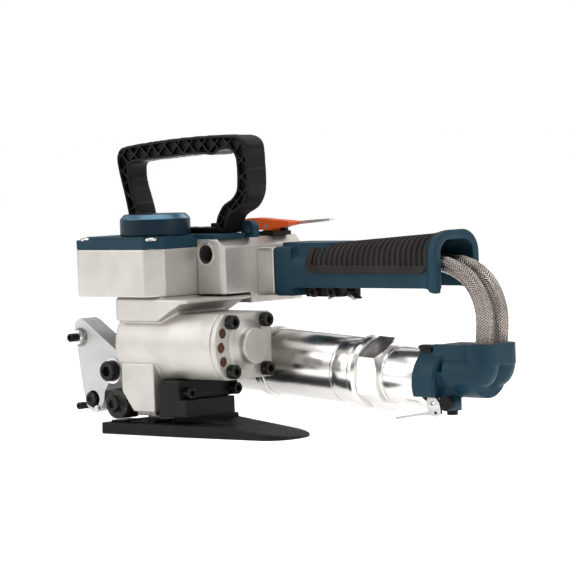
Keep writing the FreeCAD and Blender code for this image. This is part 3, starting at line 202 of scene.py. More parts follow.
def finish(name, colour, shade, metallic, rough, grain, depth, cloud=45, stretch=(1, 1, 1), wear=None):
    """A surface: colour clouded with shade, roughness from rough[0] to rough[1], and grain.

    grain is features per metre, depth how far its bump stands, wear a colour for exposed edges."""
    paint = bpy.data.materials.new(name)
    paint.use_nodes = True
    tree = paint.node_tree
    shader = tree.nodes["Principled BSDF"]
    fine = noise(tree, grain, 3.0, stretch)
    broad = noise(tree, cloud, 4.0, stretch, 0.4)
    tint = mix(tree, spread(tree, broad, 0, 1), colour, shade)
    speckle = mix(tree, spread(tree, fine, 0, 0.35), tint, shade)
    if wear:
        point = tree.nodes.new("ShaderNodeNewGeometry").outputs["Pointiness"]
        edge = spread(tree, point, 0, 0.7, 0.53, 0.6)
        chipped = tree.nodes.new("ShaderNodeMath")
        chipped.operation = "MULTIPLY"
        tree.links.new(edge, chipped.inputs[0])
        tree.links.new(spread(tree, noise(tree, 600, 4.0), 0.1, 1, 0.35, 0.6), chipped.inputs[1])
        speckle = mix(tree, chipped.outputs[0], speckle, wear)
    tree.links.new(speckle, shader.inputs["Base Color"])
    shader.inputs["Metallic"].default_value = metallic
    tree.links.new(spread(tree, broad, rough[0], rough[1], 0.25, 0.75), shader.inputs["Roughness"])
    bump = tree.nodes.new("ShaderNodeBump")
    bump.inputs["Strength"].default_value = 0.6
    bump.inputs["Distance"].default_value = depth * MM
    tree.links.new(fine, bump.inputs["Height"])
    tree.links.new(bump.outputs["Normal"], shader.inputs["Normal"])
    shader.inputs["Specular IOR Level"].default_value = 0.12
    return paint


# Name: colour, shade, metallic, roughness from and to, grain per metre, depth, and what differs.
FINISHES = {name: finish(name, *numbers, **more) for name, numbers, more in (
    ("casting", ((0.53, 0.505, 0.47), (0.44, 0.42, 0.39), 0.75, (0.36, 0.5), 2600, 0.06), {}),
    ("machined", ((0.72, 0.70, 0.67), (0.58, 0.565, 0.54), 0.9, (0.24, 0.38), 900, 0.02),
     {"stretch": (1, 12, 1)}),
    ("black_oxide", ((0.003, 0.003, 0.0033), (0.009, 0.0087, 0.0085), 0.0, (0.26, 0.42), 2200, 0.03),
     {"wear": (0.07, 0.068, 0.066)}),
    ("tongue", ((0.0035, 0.0033, 0.0032), (0.011, 0.0103, 0.0098), 0.0, (0.45, 0.62), 900, 0.14),
     {"wear": (0.05, 0.048, 0.046)}),
    ("blue", ((0.0105, 0.038, 0.058), (0.008, 0.030, 0.046), 0.0, (0.34, 0.46), 1900, 0.035),
     {"wear": (0.02, 0.06, 0.09)}),
    ("dark_blue", ((0.006, 0.018, 0.030), (0.005, 0.014, 0.024), 0.0, (0.28, 0.4), 1700, 0.03),
     {"wear": (0.02, 0.05, 0.08)}),
    # lighter blue for the cap's chamfer: a painted highlight along it
    ("blue_chamfer_highlight", ((0.09, 0.17, 0.24), (0.06, 0.12, 0.18), 0.5, (0.2, 0.32), 1200, 0.02), {}),
    ("nylon", ((0.003, 0.0029, 0.0028), (0.006, 0.0058, 0.0056), 0.0, (0.3, 0.46), 1700, 0.04),
     {"wear": (0.02, 0.0195, 0.019)}),
    ("rubber", ((0.026, 0.0225, 0.020), (0.016, 0.014, 0.0125), 0.0, (0.5, 0.68), 1500, 0.05),
     {"wear": (0.06, 0.056, 0.052)}),
    ("chrome", ((0.78, 0.765, 0.745), (0.73, 0.715, 0.70), 1.0, (0.2, 0.25), 700, 0.002),
     {"stretch": (14, 1, 1)}),
    ("steel", ((0.60, 0.595, 0.585), (0.45, 0.445, 0.44), 1.0, (0.22, 0.38), 1200, 0.02),
     {"stretch": (1, 1, 9), "wear": (0.85, 0.84, 0.82)}),
    ("plate_steel", ((0.50, 0.50, 0.50), (0.42, 0.42, 0.42), 0.8, (0.36, 0.46), 1500, 0.03),
     {"wear": (0.88, 0.87, 0.85)}),
    ("bronze", ((0.115, 0.05, 0.028), (0.06, 0.03, 0.02), 0.45, (0.5, 0.7), 3200, 0.12), {}),
    ("orange", ((0.66, 0.11, 0.022), (0.56, 0.082, 0.015), 0.0, (0.28, 0.4), 1500, 0.03),
     {"wear": (0.78, 0.22, 0.07)}),
    ("resin", ((0.2, 0.1, 0.045), (0.13, 0.06, 0.03), 0.0, (0.45, 0.6), 500, 0.03),
     {"stretch": (1, 14, 1)}),
    ("braid", ((0.47, 0.42, 0.385), (0.28, 0.245, 0.22), 1.0, (0.12, 0.2), 2500, 0.02), {}),
    ("hose_core_and_bore_shade", ((0.022, 0.018, 0.016), (0.04, 0.035, 0.03), 0.0, (0.5, 0.65), 1800, 0.04), {}),
    ("drum", ((0.03, 0.03, 0.031), (0.055, 0.053, 0.051), 0.6, (0.26, 0.42), 1400, 0.02),
     {"wear": (0.42, 0.41, 0.4)}),
)}
SLOT_FINISH = {
    "cast_alloy": "casting", "blackened_steel": "black_oxide", "petrol_blue": "blue", "black_nylon": "nylon",
    "grip_rubber": "rubber", "chromed_steel": "chrome", "ground_steel": "steel", "silencer_bronze": "bronze",
    "vane_resin": "resin", "braided_hose": "braid", "lever_orange": "orange",
}
# weld_jaw and jaw_holder take the dark drum finish in place of their ground steel: painted shade in the gap
# between the leg and the base.
SHOWN_FINISH = {
    "feed_wheel": "black_oxide", "weld_jaw": "drum", "jaw_holder": "drum", "pivot_shaft": "black_oxide",
}


# ---------------------------------------------------------------- making pieces
def piece(name, mesh, nodes, surface, body=None, angle=35):
    """A finished piece that stands for CAD nodes and rides on their body. The mesh is in metres."""
    mesh.name = name
    mesh.materials.clear()
    mesh.materials.append(FINISHES[surface])
    mesh.shade_smooth()
    mesh.set_sharp_from_angle(angle=math.radians(angle))
    thing = bpy.data.objects.new(name, mesh)
    bpy.context.scene.collection.objects.link(thing)
    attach(thing, body or NODE_BODY[nodes[0]])
    if nodes:
        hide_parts(*nodes)
    return thing


def cad_mesh(node):
    """A closed copy of a node's mesh, its doubled corners welded."""
    work = bmesh.new()
    work.from_mesh(NODES[node].data)
    bmesh.ops.remove_doubles(work, verts=work.verts, dist=2e-6)
    return work


def to_mesh(work, name="work"):
    mesh = bpy.data.meshes.new(name)
    work.to_mesh(mesh)
    work.free()
    return mesh


def joined(*works):
    """One bmesh of several; the others are freed."""
    whole = works[0]
    for other in works[1:]:
        mesh = to_mesh(other)
        whole.from_mesh(mesh)
        bpy.data.meshes.remove(mesh)
    return whole


def through(mesh, *steps):
    """The mesh after modifiers, each step a type and its settings."""
    thing = bpy.data.objects.new("work", mesh)
    bpy.context.scene.collection.objects.link(thing)
    for kind, settings in steps:
        modifier = thing.modifiers.new(kind, kind)
        for key, value in settings.items():
            setattr(modifier, key, value)
    graph = bpy.context.evaluated_depsgraph_get()
    result = bpy.data.meshes.new_from_object(thing.evaluated_get(graph))
    bpy.data.objects.remove(thing)
    return result


def softened(work, voxel, rounds, keep=0.35):
    """The union of what a bmesh holds, with its edges and corners rounded as a casting's are."""
    steps = [("REMESH", {"mode": "VOXEL", "voxel_size": voxel * MM, "adaptivity": 0.0}),
             ("SMOOTH", {"factor": 0.5, "iterations": rounds})]
    if keep < 1:
        steps.append(("DECIMATE", {"ratio": keep}))
    return through(to_mesh(work), *steps)


def skin(work, rings):
    """Joins each ring of corners to the next one."""
    for first, second in zip(rings, rings[1:]):
        for i in range(len(first)):
            j = (i + 1) % len(first)
            work.faces.new((first[i], first[j], second[j], second[i]))


def ring_round(work, centre, side, up, radius, segments):
    """Corners round a centre in millimetres, in the plane of side and up."""
    ring = []
    for k in range(segments):
        angle = math.tau * k / segments
        ring.append(work.verts.new((centre + (side * math.cos(angle) + up * math.sin(angle)) * radius) * MM))
    return ring


def closed_skin(work, rings):
    """A skin with a face at each end, facing outwards."""
    skin(work, rings)
    work.faces.new(rings[0])
    work.faces.new(rings[-1])
    bmesh.ops.recalc_face_normals(work, faces=work.faces)
    return work


def boolean(mesh, tool, operation="DIFFERENCE"):
    """The mesh cut, joined or clipped by a tool mesh."""
    knife = bpy.data.objects.new("knife", tool)
    bpy.context.scene.collection.objects.link(knife)
    result = through(mesh, ("BOOLEAN", {"object": knife, "operation": operation, "solver": "EXACT"}))
    bpy.data.objects.remove(knife)
    return result


def reopened(mesh):
    work = bmesh.new()
    work.from_mesh(mesh)
    return work


def facing(place, direction):
    """A frame at a place in millimetres, its Z along direction, in metres."""
    turn = Vector(direction).to_track_quat("Z", "Y").to_matrix().to_4x4()
    return Matrix.Translation(Vector(place) * MM) @ turn


def lathe(profile, segments=72, spot=Matrix.Identity(4), closed=False):
    """A turned shape: profile is (radius, height) points in millimetres, bottom to top."""
    work = bmesh.new()
    rings = []
    for radius, height in profile:
        if radius < 1e-6:
            rings.append([work.verts.new((0, 0, height * MM))])
            continue
        ring = [work.verts.new((radius * MM * math.cos(2 * math.pi * i / segments),
                                radius * MM * math.sin(2 * math.pi * i / segments), height * MM))
                for i in range(segments)]
        rings.append(ring)
    pairs = list(zip(rings, rings[1:]))
    if closed:
        pairs.append((rings[-1], rings[0]))
    for low, high in pairs:
        for i in range(segments):
            j = (i + 1) % segments
            corners = [low[i % len(low)], low[j % len(low)], high[j % len(high)], high[i % len(high)]]
            unique = list(dict.fromkeys(corners))
            if len(unique) > 2:
                work.faces.new(unique)
    bmesh.ops.recalc_face_normals(work, faces=work.faces)
    work.transform(spot)
    return work


def eased(points, radius, steps=3):
    """An open profile with each inner corner rounded by an arc of about that radius."""
    result = [points[0]]
    for before, corner, after in zip(points, points[1:], points[2:]):
        a, b, c = (Vector(p) for p in (before, corner, after))
        reach = min(radius, (a - b).length * 0.45, (c - b).length * 0.45)
        start, end = b + (a - b).normalized() * reach, b + (c - b).normalized() * reach
        for i in range(steps + 1):
            t = i / steps
            result.append(tuple(start * (1 - t) ** 2 + b * 2 * t * (1 - t) + end * t ** 2))
    result.append(points[-1])
    return result


def block(low, high):
    """A box between two corners in millimetres."""
    work = bmesh.new()
    bmesh.ops.create_cube(work, size=1)
    size = Vector(high) - Vector(low)
    middle = (Vector(high) + Vector(low)) / 2
    work.transform(Matrix.Translation(middle * MM) @ Matrix.Diagonal((*(size * MM), 1)))
    return work


def slab(outlines, low, high, turn="y"):
    """Closed outlines in millimetres, holes allowed, made solid from low to high along an axis.

    For turn y the outlines are (x, z); for turn z they are (x, y)."""
    drawing = bpy.data.curves.new("outline", "CURVE")
    drawing.dimensions = "2D"
    drawing.fill_mode = "BOTH"
    drawing.extrude = abs(high - low) / 2 * MM
    for outline in outlines:
        spline = drawing.splines.new("POLY")
        spline.points.add(len(outline) - 1)
        for point, (a, b) in zip(spline.points, outline):
            point.co = (a * MM, b * MM, 0, 1)
        spline.use_cyclic_u = True
    thing = bpy.data.objects.new("outline", drawing)
    bpy.context.scene.collection.objects.link(thing)
    graph = bpy.context.evaluated_depsgraph_get()
    mesh = bpy.data.meshes.new_from_object(thing.evaluated_get(graph))
    bpy.data.objects.remove(thing)
    work = reopened(mesh)
    bpy.data.meshes.remove(mesh)
    bmesh.ops.remove_doubles(work, verts=work.verts, dist=1e-6)
    bmesh.ops.recalc_face_normals(work, faces=work.faces)
    middle = (low + high) / 2 * MM
    if turn == "y":
        work.transform(Matrix.Translation((0, middle, 0)) @ Matrix.Rotation(math.radians(90), 4, "X"))
    else:
        work.transform(Matrix.Translation((0, 0, middle)))
    return work


def smooth_loop(points, steps=8, corners=()):
    """A closed curve through points, smooth except at the numbered corners."""
    count = len(points)
    result = []
    for i in range(count):
        p0, p1, p2, p3 = (Vector(points[(i + k - 1) % count]) for k in range(4))
        leave = (p2 - p1) / 2 if i in corners else (p2 - p0) / 2
        arrive = (p2 - p1) / 2 if (i + 1) % count in corners else (p3 - p1) / 2
        span = (p2 - p1).length
        leave = leave.normalized() * min(leave.length, span) if leave.length else leave
        arrive = arrive.normalized() * min(arrive.length, span) if arrive.length else arrive
        for step in range(steps):
            t = step / steps
            ends = (2 * t ** 3 - 3 * t ** 2 + 1) * p1 + (-2 * t ** 3 + 3 * t ** 2) * p2
            slopes = (t ** 3 - 2 * t ** 2 + t) * leave + (t ** 3 - t ** 2) * arrive
            result.append(tuple(ends + slopes))
    return result


def inset(loop, distance):
    """A closed outline moved inwards by a distance, or outwards if it is negative."""
    points = [Vector(p) for p in loop]
    area = sum(a.x * b.y - b.x * a.y for a, b in zip(points, points[1:] + points[:1]))
    side = 1 if area > 0 else -1
    moved = []
    for i, point in enumerate(points):
        along = (points[(i + 1) % len(points)] - points[i - 1]).normalized()
        moved.append(tuple(point + Vector((-along.y, along.x)) * distance * side))
    return moved


def rounded_rectangle(low, high, radius):
    """An outline with round corners, from its low to its high corner."""
    left, right = low[0] + radius, high[0] - radius
    bottom, top = low[1] + radius, high[1] - radius
    steps = 6
    result = []
    for cx, cy, start in ((right, top, 0), (left, top, 90), (left, bottom, 180), (right, bottom, 270)):
        for i in range(steps + 1):
            angle = math.radians(start + 90 * i / steps)
            result.append((cx + radius * math.cos(angle), cy + radius * math.sin(angle)))
    return result


def hexagon_outline(radius):
    return [(radius * math.cos(math.radians(60 * i)), radius * math.sin(math.radians(60 * i)))
            for i in range(6)]


def softened_node(node, surface, voxel, rounds, keep=0.35, extra=()):
    """A CAD node with its edges rounded, with extra shapes joined on."""
    mesh = softened(joined(cad_mesh(node), *extra), voxel, rounds, keep)
    return piece(node + "_finished", mesh, [node], surface)


def screw_head(place, direction, radius, height, socket, knurl=0.25, dome=0.0, shank=0.0, reach=0.0):
    """A hexagon-socket screw seen from its head: place is the seat, direction points out."""
    segments = 60
    work = bmesh.new()

    def corner(distance, i, level):
        angle = 2 * math.pi * i / segments
        return work.verts.new((distance * math.cos(angle) * MM, distance * math.sin(angle) * MM, level * MM))

    def ring(size, level, ridges=0.0):
        return [corner(size - (ridges if i % 2 else 0), i, level) for i in range(segments)]

    def hexagon(size, level):
        points = []
        for i in range(segments):
            within = (2 * math.pi * i / segments % (math.pi / 3)) - math.pi / 6
            points.append(corner(size * math.cos(math.pi / 6) / math.cos(within), i, level))
        return points

    edge = min(0.12 * radius, 0.3 * height)
    top = height - edge + dome if dome else height
    rings = []
    if reach:
        rings += [ring(shank, -reach), ring(shank, 0.02)]
    rings += [ring(radius - 0.3 * edge, 0), ring(radius, 0.3 * edge, knurl),
              ring(radius, height - 1.5 * edge, knurl), ring(radius - 0.35 * edge, height - 0.9 * edge)]
    if dome:
        rings += [ring(radius * 0.92, height - edge + dome * 0.3),
                  ring(radius * 0.75, height - edge + dome * 0.7), ring(socket * 1.25, top)]
    else:
        rings.append(ring(radius - 1.2 * edge, height))
    rings += [ring(socket * 1.12, top), hexagon(socket, top - 0.25), hexagon(socket, top - 0.55 * height)]
    work.faces.new(list(reversed(rings[0])))
    skin(work, rings)
    centre = work.verts.new((0, 0, (top - 0.65 * height) * MM))
    for i in range(segments):
        work.faces.new((rings[-1][i], rings[-1][(i + 1) % segments], centre))
    bmesh.ops.recalc_face_normals(work, faces=work.faces)
    work.transform(facing(place, direction))
    return work


# ---------------------------------------------------------------- castings, covers and base
def castings():
    casting = softened(cad_mesh("main_casting"), 0.7, 13)
    window = block((-13.3, -16.3, 33.5), (7.3, 8.2, 40.9))
    piece("main_casting_finished", boolean(casting, to_mesh(window)), ["main_casting"], "casting")
    softened_node("upper_housing", "casting", 0.7, 5)
    block_mesh = softened(cad_mesh("rear_block"), 0.6, 5)
    bore = lathe([(0, -13.2), (6.95, -13.2), (6.95, -1.2), (8.2, 0.4), (8.2, 1), (0, 1)], 72,
                 facing(PORT, NEARWARD))
    piece("rear_block_finished", boolean(block_mesh, to_mesh(bore)), ["rear_block"], "casting")
    softened_node("end_cover", "casting", 0.5, 4)
    softened_node("handle_adapter", "machined", 0.6, 3)


def covers():
    softened_node("top_cover", "blue", 0.45, 4, keep=0.25)
    softened_node("suspension_lug", "blue", 0.3, 4)
    low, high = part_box("cylinder_cap")
    centre = (Vector(low) + Vector(high)) / 2
    radius = (high[0] - low[0]) / 2 / MM
    top = high[2] / MM
    profile = [(0, 138.6), (radius - 0.6, 138.6), (radius, 139.4), (radius, top - 3.3),
               (radius - 3, top - 0.2), (radius - 4, top), (0, top)]
    turned = lathe(eased(profile, 0.5), 120, Matrix.Translation((centre.x, centre.y, 0)))
    cap = piece("cylinder_cap_finished", to_mesh(turned), ["cylinder_cap"], "dark_blue")
    # The chamfer faces, tilted towards the top light, take the lighter blue: a painted highlight round the cap's
    # edge.
    cap.data.materials.append(FINISHES["blue_chamfer_highlight"])
    for face in cap.data.polygons:
        if 0.35 < face.normal.z < 0.93:
            face.material_index = 1


def base():
    softened_node("base_plate", "tongue", 0.6, 3)
    softened_node("strap_guide", "black_oxide", 0.5, 4)
    softened_node("strap_plates", "black_oxide", 0.3, 1)


# ---------------------------------------------------------------- screws
def socket_screw(place, direction, radius, height):
    return screw_head(place, direction, radius, height, radius * 0.56, shank=radius * 0.6, reach=6)


def screws():
    ahead, down, up, away = (1, 0, 0), (0, 0, -1), (0, 0, 1), (0, 1, 0)
    y, z = BARREL
    heads = [socket_screw((73, y + a * 17, z + b * 17), ahead, 5, 5.75) for a in (-1, 1) for b in (-1, 1)]
    heads += [socket_screw((36, y + a * 23, 29.5), ahead, 4.3, 4.95) for a in (-1, 1)]
    heads.append(socket_screw(BIG_BOLT, NEARWARD, 7.2, 7))
    heads += [screw_head((x, y, 3.5), down, 4.6, 2.9, 2, knurl=0, shank=2.5, reach=10)
              for x, y in SOLE_SPOTS]
    piece("body_screws_finished", to_mesh(joined(*heads)), ["body_screws"], "black_oxide")
    domes = [screw_head((x, y, 135.6), up, 4.6, 1.9, 1.9, knurl=0, dome=1.1, shank=1.5, reach=6)
             for x, y in COVER_SPOTS]
    piece("cover_screws_finished", to_mesh(joined(*domes)), ["upper_screws"], "steel")
    buttons = [screw_head((x, y, 142.5), up, 4, 3, 2.2, shank=2.5, reach=8) for x, y in CARRY_SPOTS]
    buttons += [screw_head((x, 62, 96.2), NEARWARD, 3.9, 3.2, 2.1, shank=1.5, reach=4) for x in (93.5, 110.5)]
    piece("upper_screws_finished", to_mesh(joined(*buttons)), ["upper_screws"], "black_oxide")
    wheel_screw = screw_head((-29, -18, 20.6), NEARWARD, 6, 3, 3.2)
    piece("wheel_screw_finished", to_mesh(wheel_screw), ["wheel_screw"], "black_oxide")
    centre = Vector(JOINTS["cross_spin"]["pos_m"]) / MM
    lid = []
    for i in range(6):
        angle = math.radians(60 * i)
        place = (centre.x + 25 * math.cos(angle), 100, centre.z + 25 * math.sin(angle))
        lid.append(screw_head(place, away, 2.6, 2.99, 1.45, shank=1.5, reach=3))
    piece("gear_case_screws_finished", to_mesh(joined(*lid)), ["gear_case_screws"], "black_oxide")


# ---------------------------------------------------------------- tension motor
def motor_frame():
    """A frame on the motor's axis, its Z along it, from the cross shaft; its Y is the tool's."""
    joint = JOINTS["tension_spin"]
    ahead = Vector(joint["axis"]).normalized()
    side = Vector((0, 1, 0))
    across = side.cross(ahead)
    axes = Matrix((across, side, ahead)).transposed()
    return Matrix.Translation(Vector(joint["pos_m"])) @ axes.to_4x4()


def turned_on_motor(name, node, profile, ease, steps=2):
    """A chromed ring turned on the motor's axis."""
    turned = lathe(eased(profile, ease, steps), 128, motor_frame(), closed=True)
    piece(name, to_mesh(turned), [node], "chrome")


def motor():
    bore = 20
    tube_profile = [(bore, 28.5), (23.45, 28.5), (23.45, 58), (22.9, 58.6), (22.9, 60.4), (23.45, 61),
                    (23.45, 171), (22.65, 171), (22.65, 174), (23.45, 174), (23.45, 188), (bore, 188)]
    turned_on_motor("motor_tube_finished", "motor_tube", tube_profile, 0.3)
    band = [(23.5, 99.5), (24.6, 99.5), (25.05, 100), (25.05, 102), (24.4, 102.6), (24.4, 104.4),
            (25.05, 105), (25.05, 107), (24.6, 107.5), (23.5, 107.5)]
    turned_on_motor("motor_band_finished", "motor_band", band, 0.3)
    collar = [(16, 188), (25, 188), (25.5, 188.6), (25.5, 192), (24.3, 194.5), (16, 194.5)]
    turned_on_motor("motor_collar_finished", "motor_collar", collar, 0.5, 3)
    nut = slab([hexagon_outline(25.6)], 194.5, 213, turn="z")
    cone = lathe([(0, 194.5), (22.6, 194.5), (25.7, 197), (25.7, 210.5), (22.6, 213), (0, 213)], 96)
    nut_mesh = boolean(to_mesh(nut), to_mesh(cone), "INTERSECT")
    nut_mesh.transform(motor_frame())
    piece("motor_nut_finished", nut_mesh, ["motor_nut"], "chrome", angle=20)
    rear = [(16, 213), (20, 213), (20, 214.5), (19.5, 215), (19.5, 216.5), (20, 217), (20, 245), (16, 245)]
    turned_on_motor("motor_rear_finished", "motor_rear_cylinder", rear, 0.3)


def simple_nodes():
    """Small and inner parts keep their CAD shape with welded, eased edges."""
    for node, surface, voxel, rounds in (
            ("link_plate", "plate_steel", 0.35, 3), ("stop_screw", "black_oxide", 0.2, 2),
            ("gear_case", "drum", 0.7, 4), ("gear_case_lid", "drum", 0.4, 3),
            ("tension_lever", "machined", 0.2, 3),
            ("handle_valve", "black_oxide", 0.3, 3), ("handle_trigger", "steel", 0.2, 3),
            ("elbow_bracket", "steel", 0.18, 2), ("elbow_lever", "steel", 0.16, 2),
            ("silencer_plugs", "bronze", 0.15, 3), ("elbow_plugs", "nylon", 0.2, 3)):
        softened_node(node, surface, voxel, rounds)


def return_spring():
    """A coil spring with closed ends round the press rod. The real spring gets shorter as the jaw goes down; this
    one keeps its length.
    """
    low, high = (Vector(corner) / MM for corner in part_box("return_spring"))
    wire = 1.1
    centre, reach = (low + high) / 2, (high.x - low.x) / 2 - wire
    turns, end_turns = 5.5, 0.75
    steps, sides = 36, 10
    work = bmesh.new()
    rings = []
    for step in range(int(turns * steps) + 1):
        angle = math.tau * step / steps
        rise = min(max((step / steps - end_turns) / (turns - 2 * end_turns), 0), 1)
        climb = low.z + wire + rise * (high.z - low.z - 2 * wire)
        out = Vector((math.cos(angle), math.sin(angle), 0))
        middle = Vector((centre.x, centre.y, climb)) + out * reach
        rings.append(ring_round(work, middle, out, Vector((0, 0, 1)), wire, sides))
    coil = piece("return_spring_finished", to_mesh(closed_skin(work, rings)), ["return_spring"], "steel")
    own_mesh(coil)


# ---------------------------------------------------------------- carry handle
CARRY_OUTER = [(-54, 138.6), (-59, 162), (-65, 183), (-66.5, 194), (-61, 200.5), (-24, 204.6), (16, 206.85),
               (52, 206.6), (61, 201.8), (62.8, 190), (62.6, 168), (56, 157), (43, 150), (38, 138.6)]
CARRY_INNER = [(-45, 142.5), (-48.5, 158), (-54.5, 176), (-55, 187), (-51, 190), (-24, 192), (16, 194.4),
               (30, 193.6), (36, 196.5), (47, 196.5), (52, 190), (52, 170), (47, 163), (38, 158),
               (32, 150), (30, 142.5)]


def crossings(start, along, loops):
    """Where a line runs inside closed outlines, as pairs of distances from its start."""
    across = Vector((-along.y, along.x))
    hits = []
    for loop in loops:
        for a, b in zip(loop, list(loop[1:]) + [loop[0]]):
            a, b = Vector(a) - start, Vector(b) - start
            side_a, side_b = a.dot(across), b.dot(across)
            if (side_a > 0) != (side_b > 0):
                hits.append((a + (b - a) * side_a / (side_a - side_b)).dot(along))
    hits.sort()
    return list(zip(hits[0::2], hits[1::2]))


def carry_handle():
    """Smooth flanges round a thin web, with crossed ribs standing on both of its sides."""
    near, far = 29.5, 48.5
    middle, half_web = (near + far) / 2, 5.5
    rib_step, half_rib = 12.5, 0.6
    outer = smooth_loop(CARRY_OUTER, 5, corners=(0, 13))
    inner = smooth_loop(CARRY_INNER, 5, corners=(0, 15))
    shapes = [slab([outer, inner], middle - half_web, middle + half_web),
              slab([outer, inset(outer, 1.9)], near, far),
              slab([inset(inner, -1.7), inner], near, far),
              block((-50, near, 138.7), (36, far, 142.6))]
    for lean in (43, -43):
        along = Vector((math.cos(math.radians(lean)), math.sin(math.radians(lean))))
        for step in range(-13, 14):
            start = Vector((rib_step * step, 172))
            for first, last in crossings(start, along, (outer, inner)):
                rib = block((first, near + 1.0, -half_rib), (last, far - 1.0, half_rib))
                rib.transform(Matrix.Translation((start.x * MM, 0, start.y * MM))
                              @ Matrix.Rotation(-math.radians(lean), 4, "Y"))
                shapes.append(rib)
    piece("carry_handle_finished", softened(joined(*shapes), 0.42, 3, 0.4), ["carry_handle"], "nylon")


# ---------------------------------------------------------------- grip handle
HANDLE_RISE = math.tan(math.radians(3.83))
HANDLE_TOP, HANDLE_TOP_AT = 126.5, 80
HANDLE_NEAR, HANDLE_FAR = 52, 92
HANDLE_ROUND = 13
GRIP_START, GRIP_END = 95, 207
GRIP_LOW = 109.5


def handle_section(x, grow, low):
    """The handle's outline at one x, an upturned U from its near to its far foot: (y, z) points."""
    steps, side_steps = 8, 5
    top = HANDLE_TOP + (x - HANDLE_TOP_AT) * HANDLE_RISE + grow
    radius = HANDLE_ROUND + grow
    heights = [low + (top - radius - low) * i / side_steps for i in range(side_steps)]
    points = [(HANDLE_NEAR - grow, height) for height in heights]
    for centre, start in ((HANDLE_NEAR + HANDLE_ROUND, 180), (HANDLE_FAR - HANDLE_ROUND, 90)):
        for i in range(steps + 1):
            angle = math.radians(start - 90 * i / steps)
            points.append((centre + radius * math.cos(angle), top - radius + radius * math.sin(angle)))
    return points + [(HANDLE_FAR + grow, height) for height in reversed(heights)]


def channel(stations):
    """A bent sheet lofted through stations of (x, outer growth, inner growth, low edge)."""
    work = bmesh.new()
    rings = []
    for x, outside, inside, low in stations:
        outline = handle_section(x, outside, low) + list(reversed(handle_section(x, inside, low)))
        rings.append([work.verts.new((x * MM, y * MM, z * MM)) for y, z in outline])
    return closed_skin(work, rings)


def grip_low(x):
    """The grip's lower border, rounded up at both ends."""
    radius = 9
    over = max(GRIP_START + radius - x, x - (GRIP_END - radius), 0)
    return GRIP_LOW + radius - math.sqrt(max(radius ** 2 - over ** 2, 0.0))


def handle():
    """The handle with its flared end and top plate, and the grip: ribs inside a rounded border."""
    flare = channel([(201, 0.3, -3, 99.4), (204, 0.5, -3, 99.2), (206.5, 1.4, -3, 98.4),
                     (208.5, 2.6, -2.8, 97.2), (210, 3.0, -2.4, 96.6), (214.4, 3.2, -2.0, 96.2),
                     (215.4, 2.6, -1.8, 96.6)])
    plate = slab([rounded_rectangle((64.4, 56.5), (117, 87.5), 8)], 122, 130.6, turn="z")
    softened_node("handle_shell", "blue", 0.5, 4, extra=(flare, plate))
    under, ridge_low = 0.04, 114
    border = [(x, grow, under, grip_low(x)) for x, grow in ((GRIP_START, 0.6), (95.6, 1.9), (101.0, 2.1))]
    ribs = []
    for x in [103.3 + 4.85 * i for i in range(21)]:
        for shift, grow in ((-1.2, 0.35), (-0.9, 1.7), (0.9, 1.7), (1.2, 0.35)):
            ribs.append((x + shift, grow, under, ridge_low))
    end = [(x, grow, under, grip_low(x)) for x, grow in ((204.2, 2.1), (206.4, 1.9), (GRIP_END, 0.6))]
    shapes = [channel(ribs), channel(border), channel(end)]
    first, last, count, thick = GRIP_START + 0.4, GRIP_END - 0.2, 41, 2.0
    edge = [(first + i * 2.785, grip_low(first + i * 2.785)) for i in range(count)]
    for y, out in ((HANDLE_NEAR, -thick), (HANDLE_FAR, thick)):
        shapes.append(slab([edge + [(last, 115), (first, 115)]], min(y, y + out), max(y, y + out)))
    piece("grip_finished", softened(joined(*shapes), 0.28, 1, 0.35), ["grip_insert"], "rubber")


# ---------------------------------------------------------------- hoses and their elbow
def relaxed(points, rounds=5):
    """A smooth line drawn along a coarse one, its corners cut again and again."""
    line = [Vector(p) for p in points]
    for _ in range(rounds):
        cut = [line[0]]
        for a, b in zip(line, line[1:]):
            cut += [a * 0.75 + b * 0.25, a * 0.25 + b * 0.75]
        line = cut + [line[-1]]
    return line


def spline_line(points):
    """Points in millimetres read from a NURBS spline that has the given points as control points."""
    drawing = bpy.data.curves.new("route", "CURVE")
    drawing.dimensions = "3D"
    drawing.resolution_u = 24
    spline = drawing.splines.new("NURBS")
    spline.points.add(len(points) - 1)
    for point, place in zip(spline.points, points):
        point.co = (*(Vector(place) * MM), 1)
    spline.order_u = 3
    spline.use_endpoint_u = True
    spline.resolution_u = 24
    thing = bpy.data.objects.new("route", drawing)
    bpy.context.scene.collection.objects.link(thing)
    graph = bpy.context.evaluated_depsgraph_get()
    mesh = bpy.data.meshes.new_from_object(thing.evaluated_get(graph))
    line = [vertex.co / MM for vertex in mesh.vertices]
    bpy.data.objects.remove(thing)
    bpy.data.meshes.remove(mesh)
    return line


def distances(line):
    """How far along a line each of its points is."""
    reach = [0.0]
    for a, b in zip(line, line[1:]):
        reach.append(reach[-1] + (b - a).length)
    return reach


def evenly(line, step):
    """Points at equal steps along a line."""
    reach = distances(line)
    count = max(2, round(reach[-1] / step))
    wanted = np.linspace(0, reach[-1], count + 1)
    columns = [np.interp(wanted, reach, [p[axis] for p in line]) for axis in range(3)]
    return [Vector(p) for p in zip(*columns)]


def sections(line):
    """Side and up directions at each point of a line that stays in a plane of constant y."""
    frames = []
    side = Vector((0, 1, 0))
    for i in range(len(line)):
        along = (line[min(i + 1, len(line) - 1)] - line[max(i - 1, 0)]).normalized()
        frames.append((side, along.cross(side)))
    return frames


def tube(line, radius, segments):
    """A round bar along a line."""
    work = bmesh.new()
    rings = [ring_round(work, centre, side, up, radius, segments)
             for centre, (side, up) in zip(line, sections(line))]
    return closed_skin(work, rings)


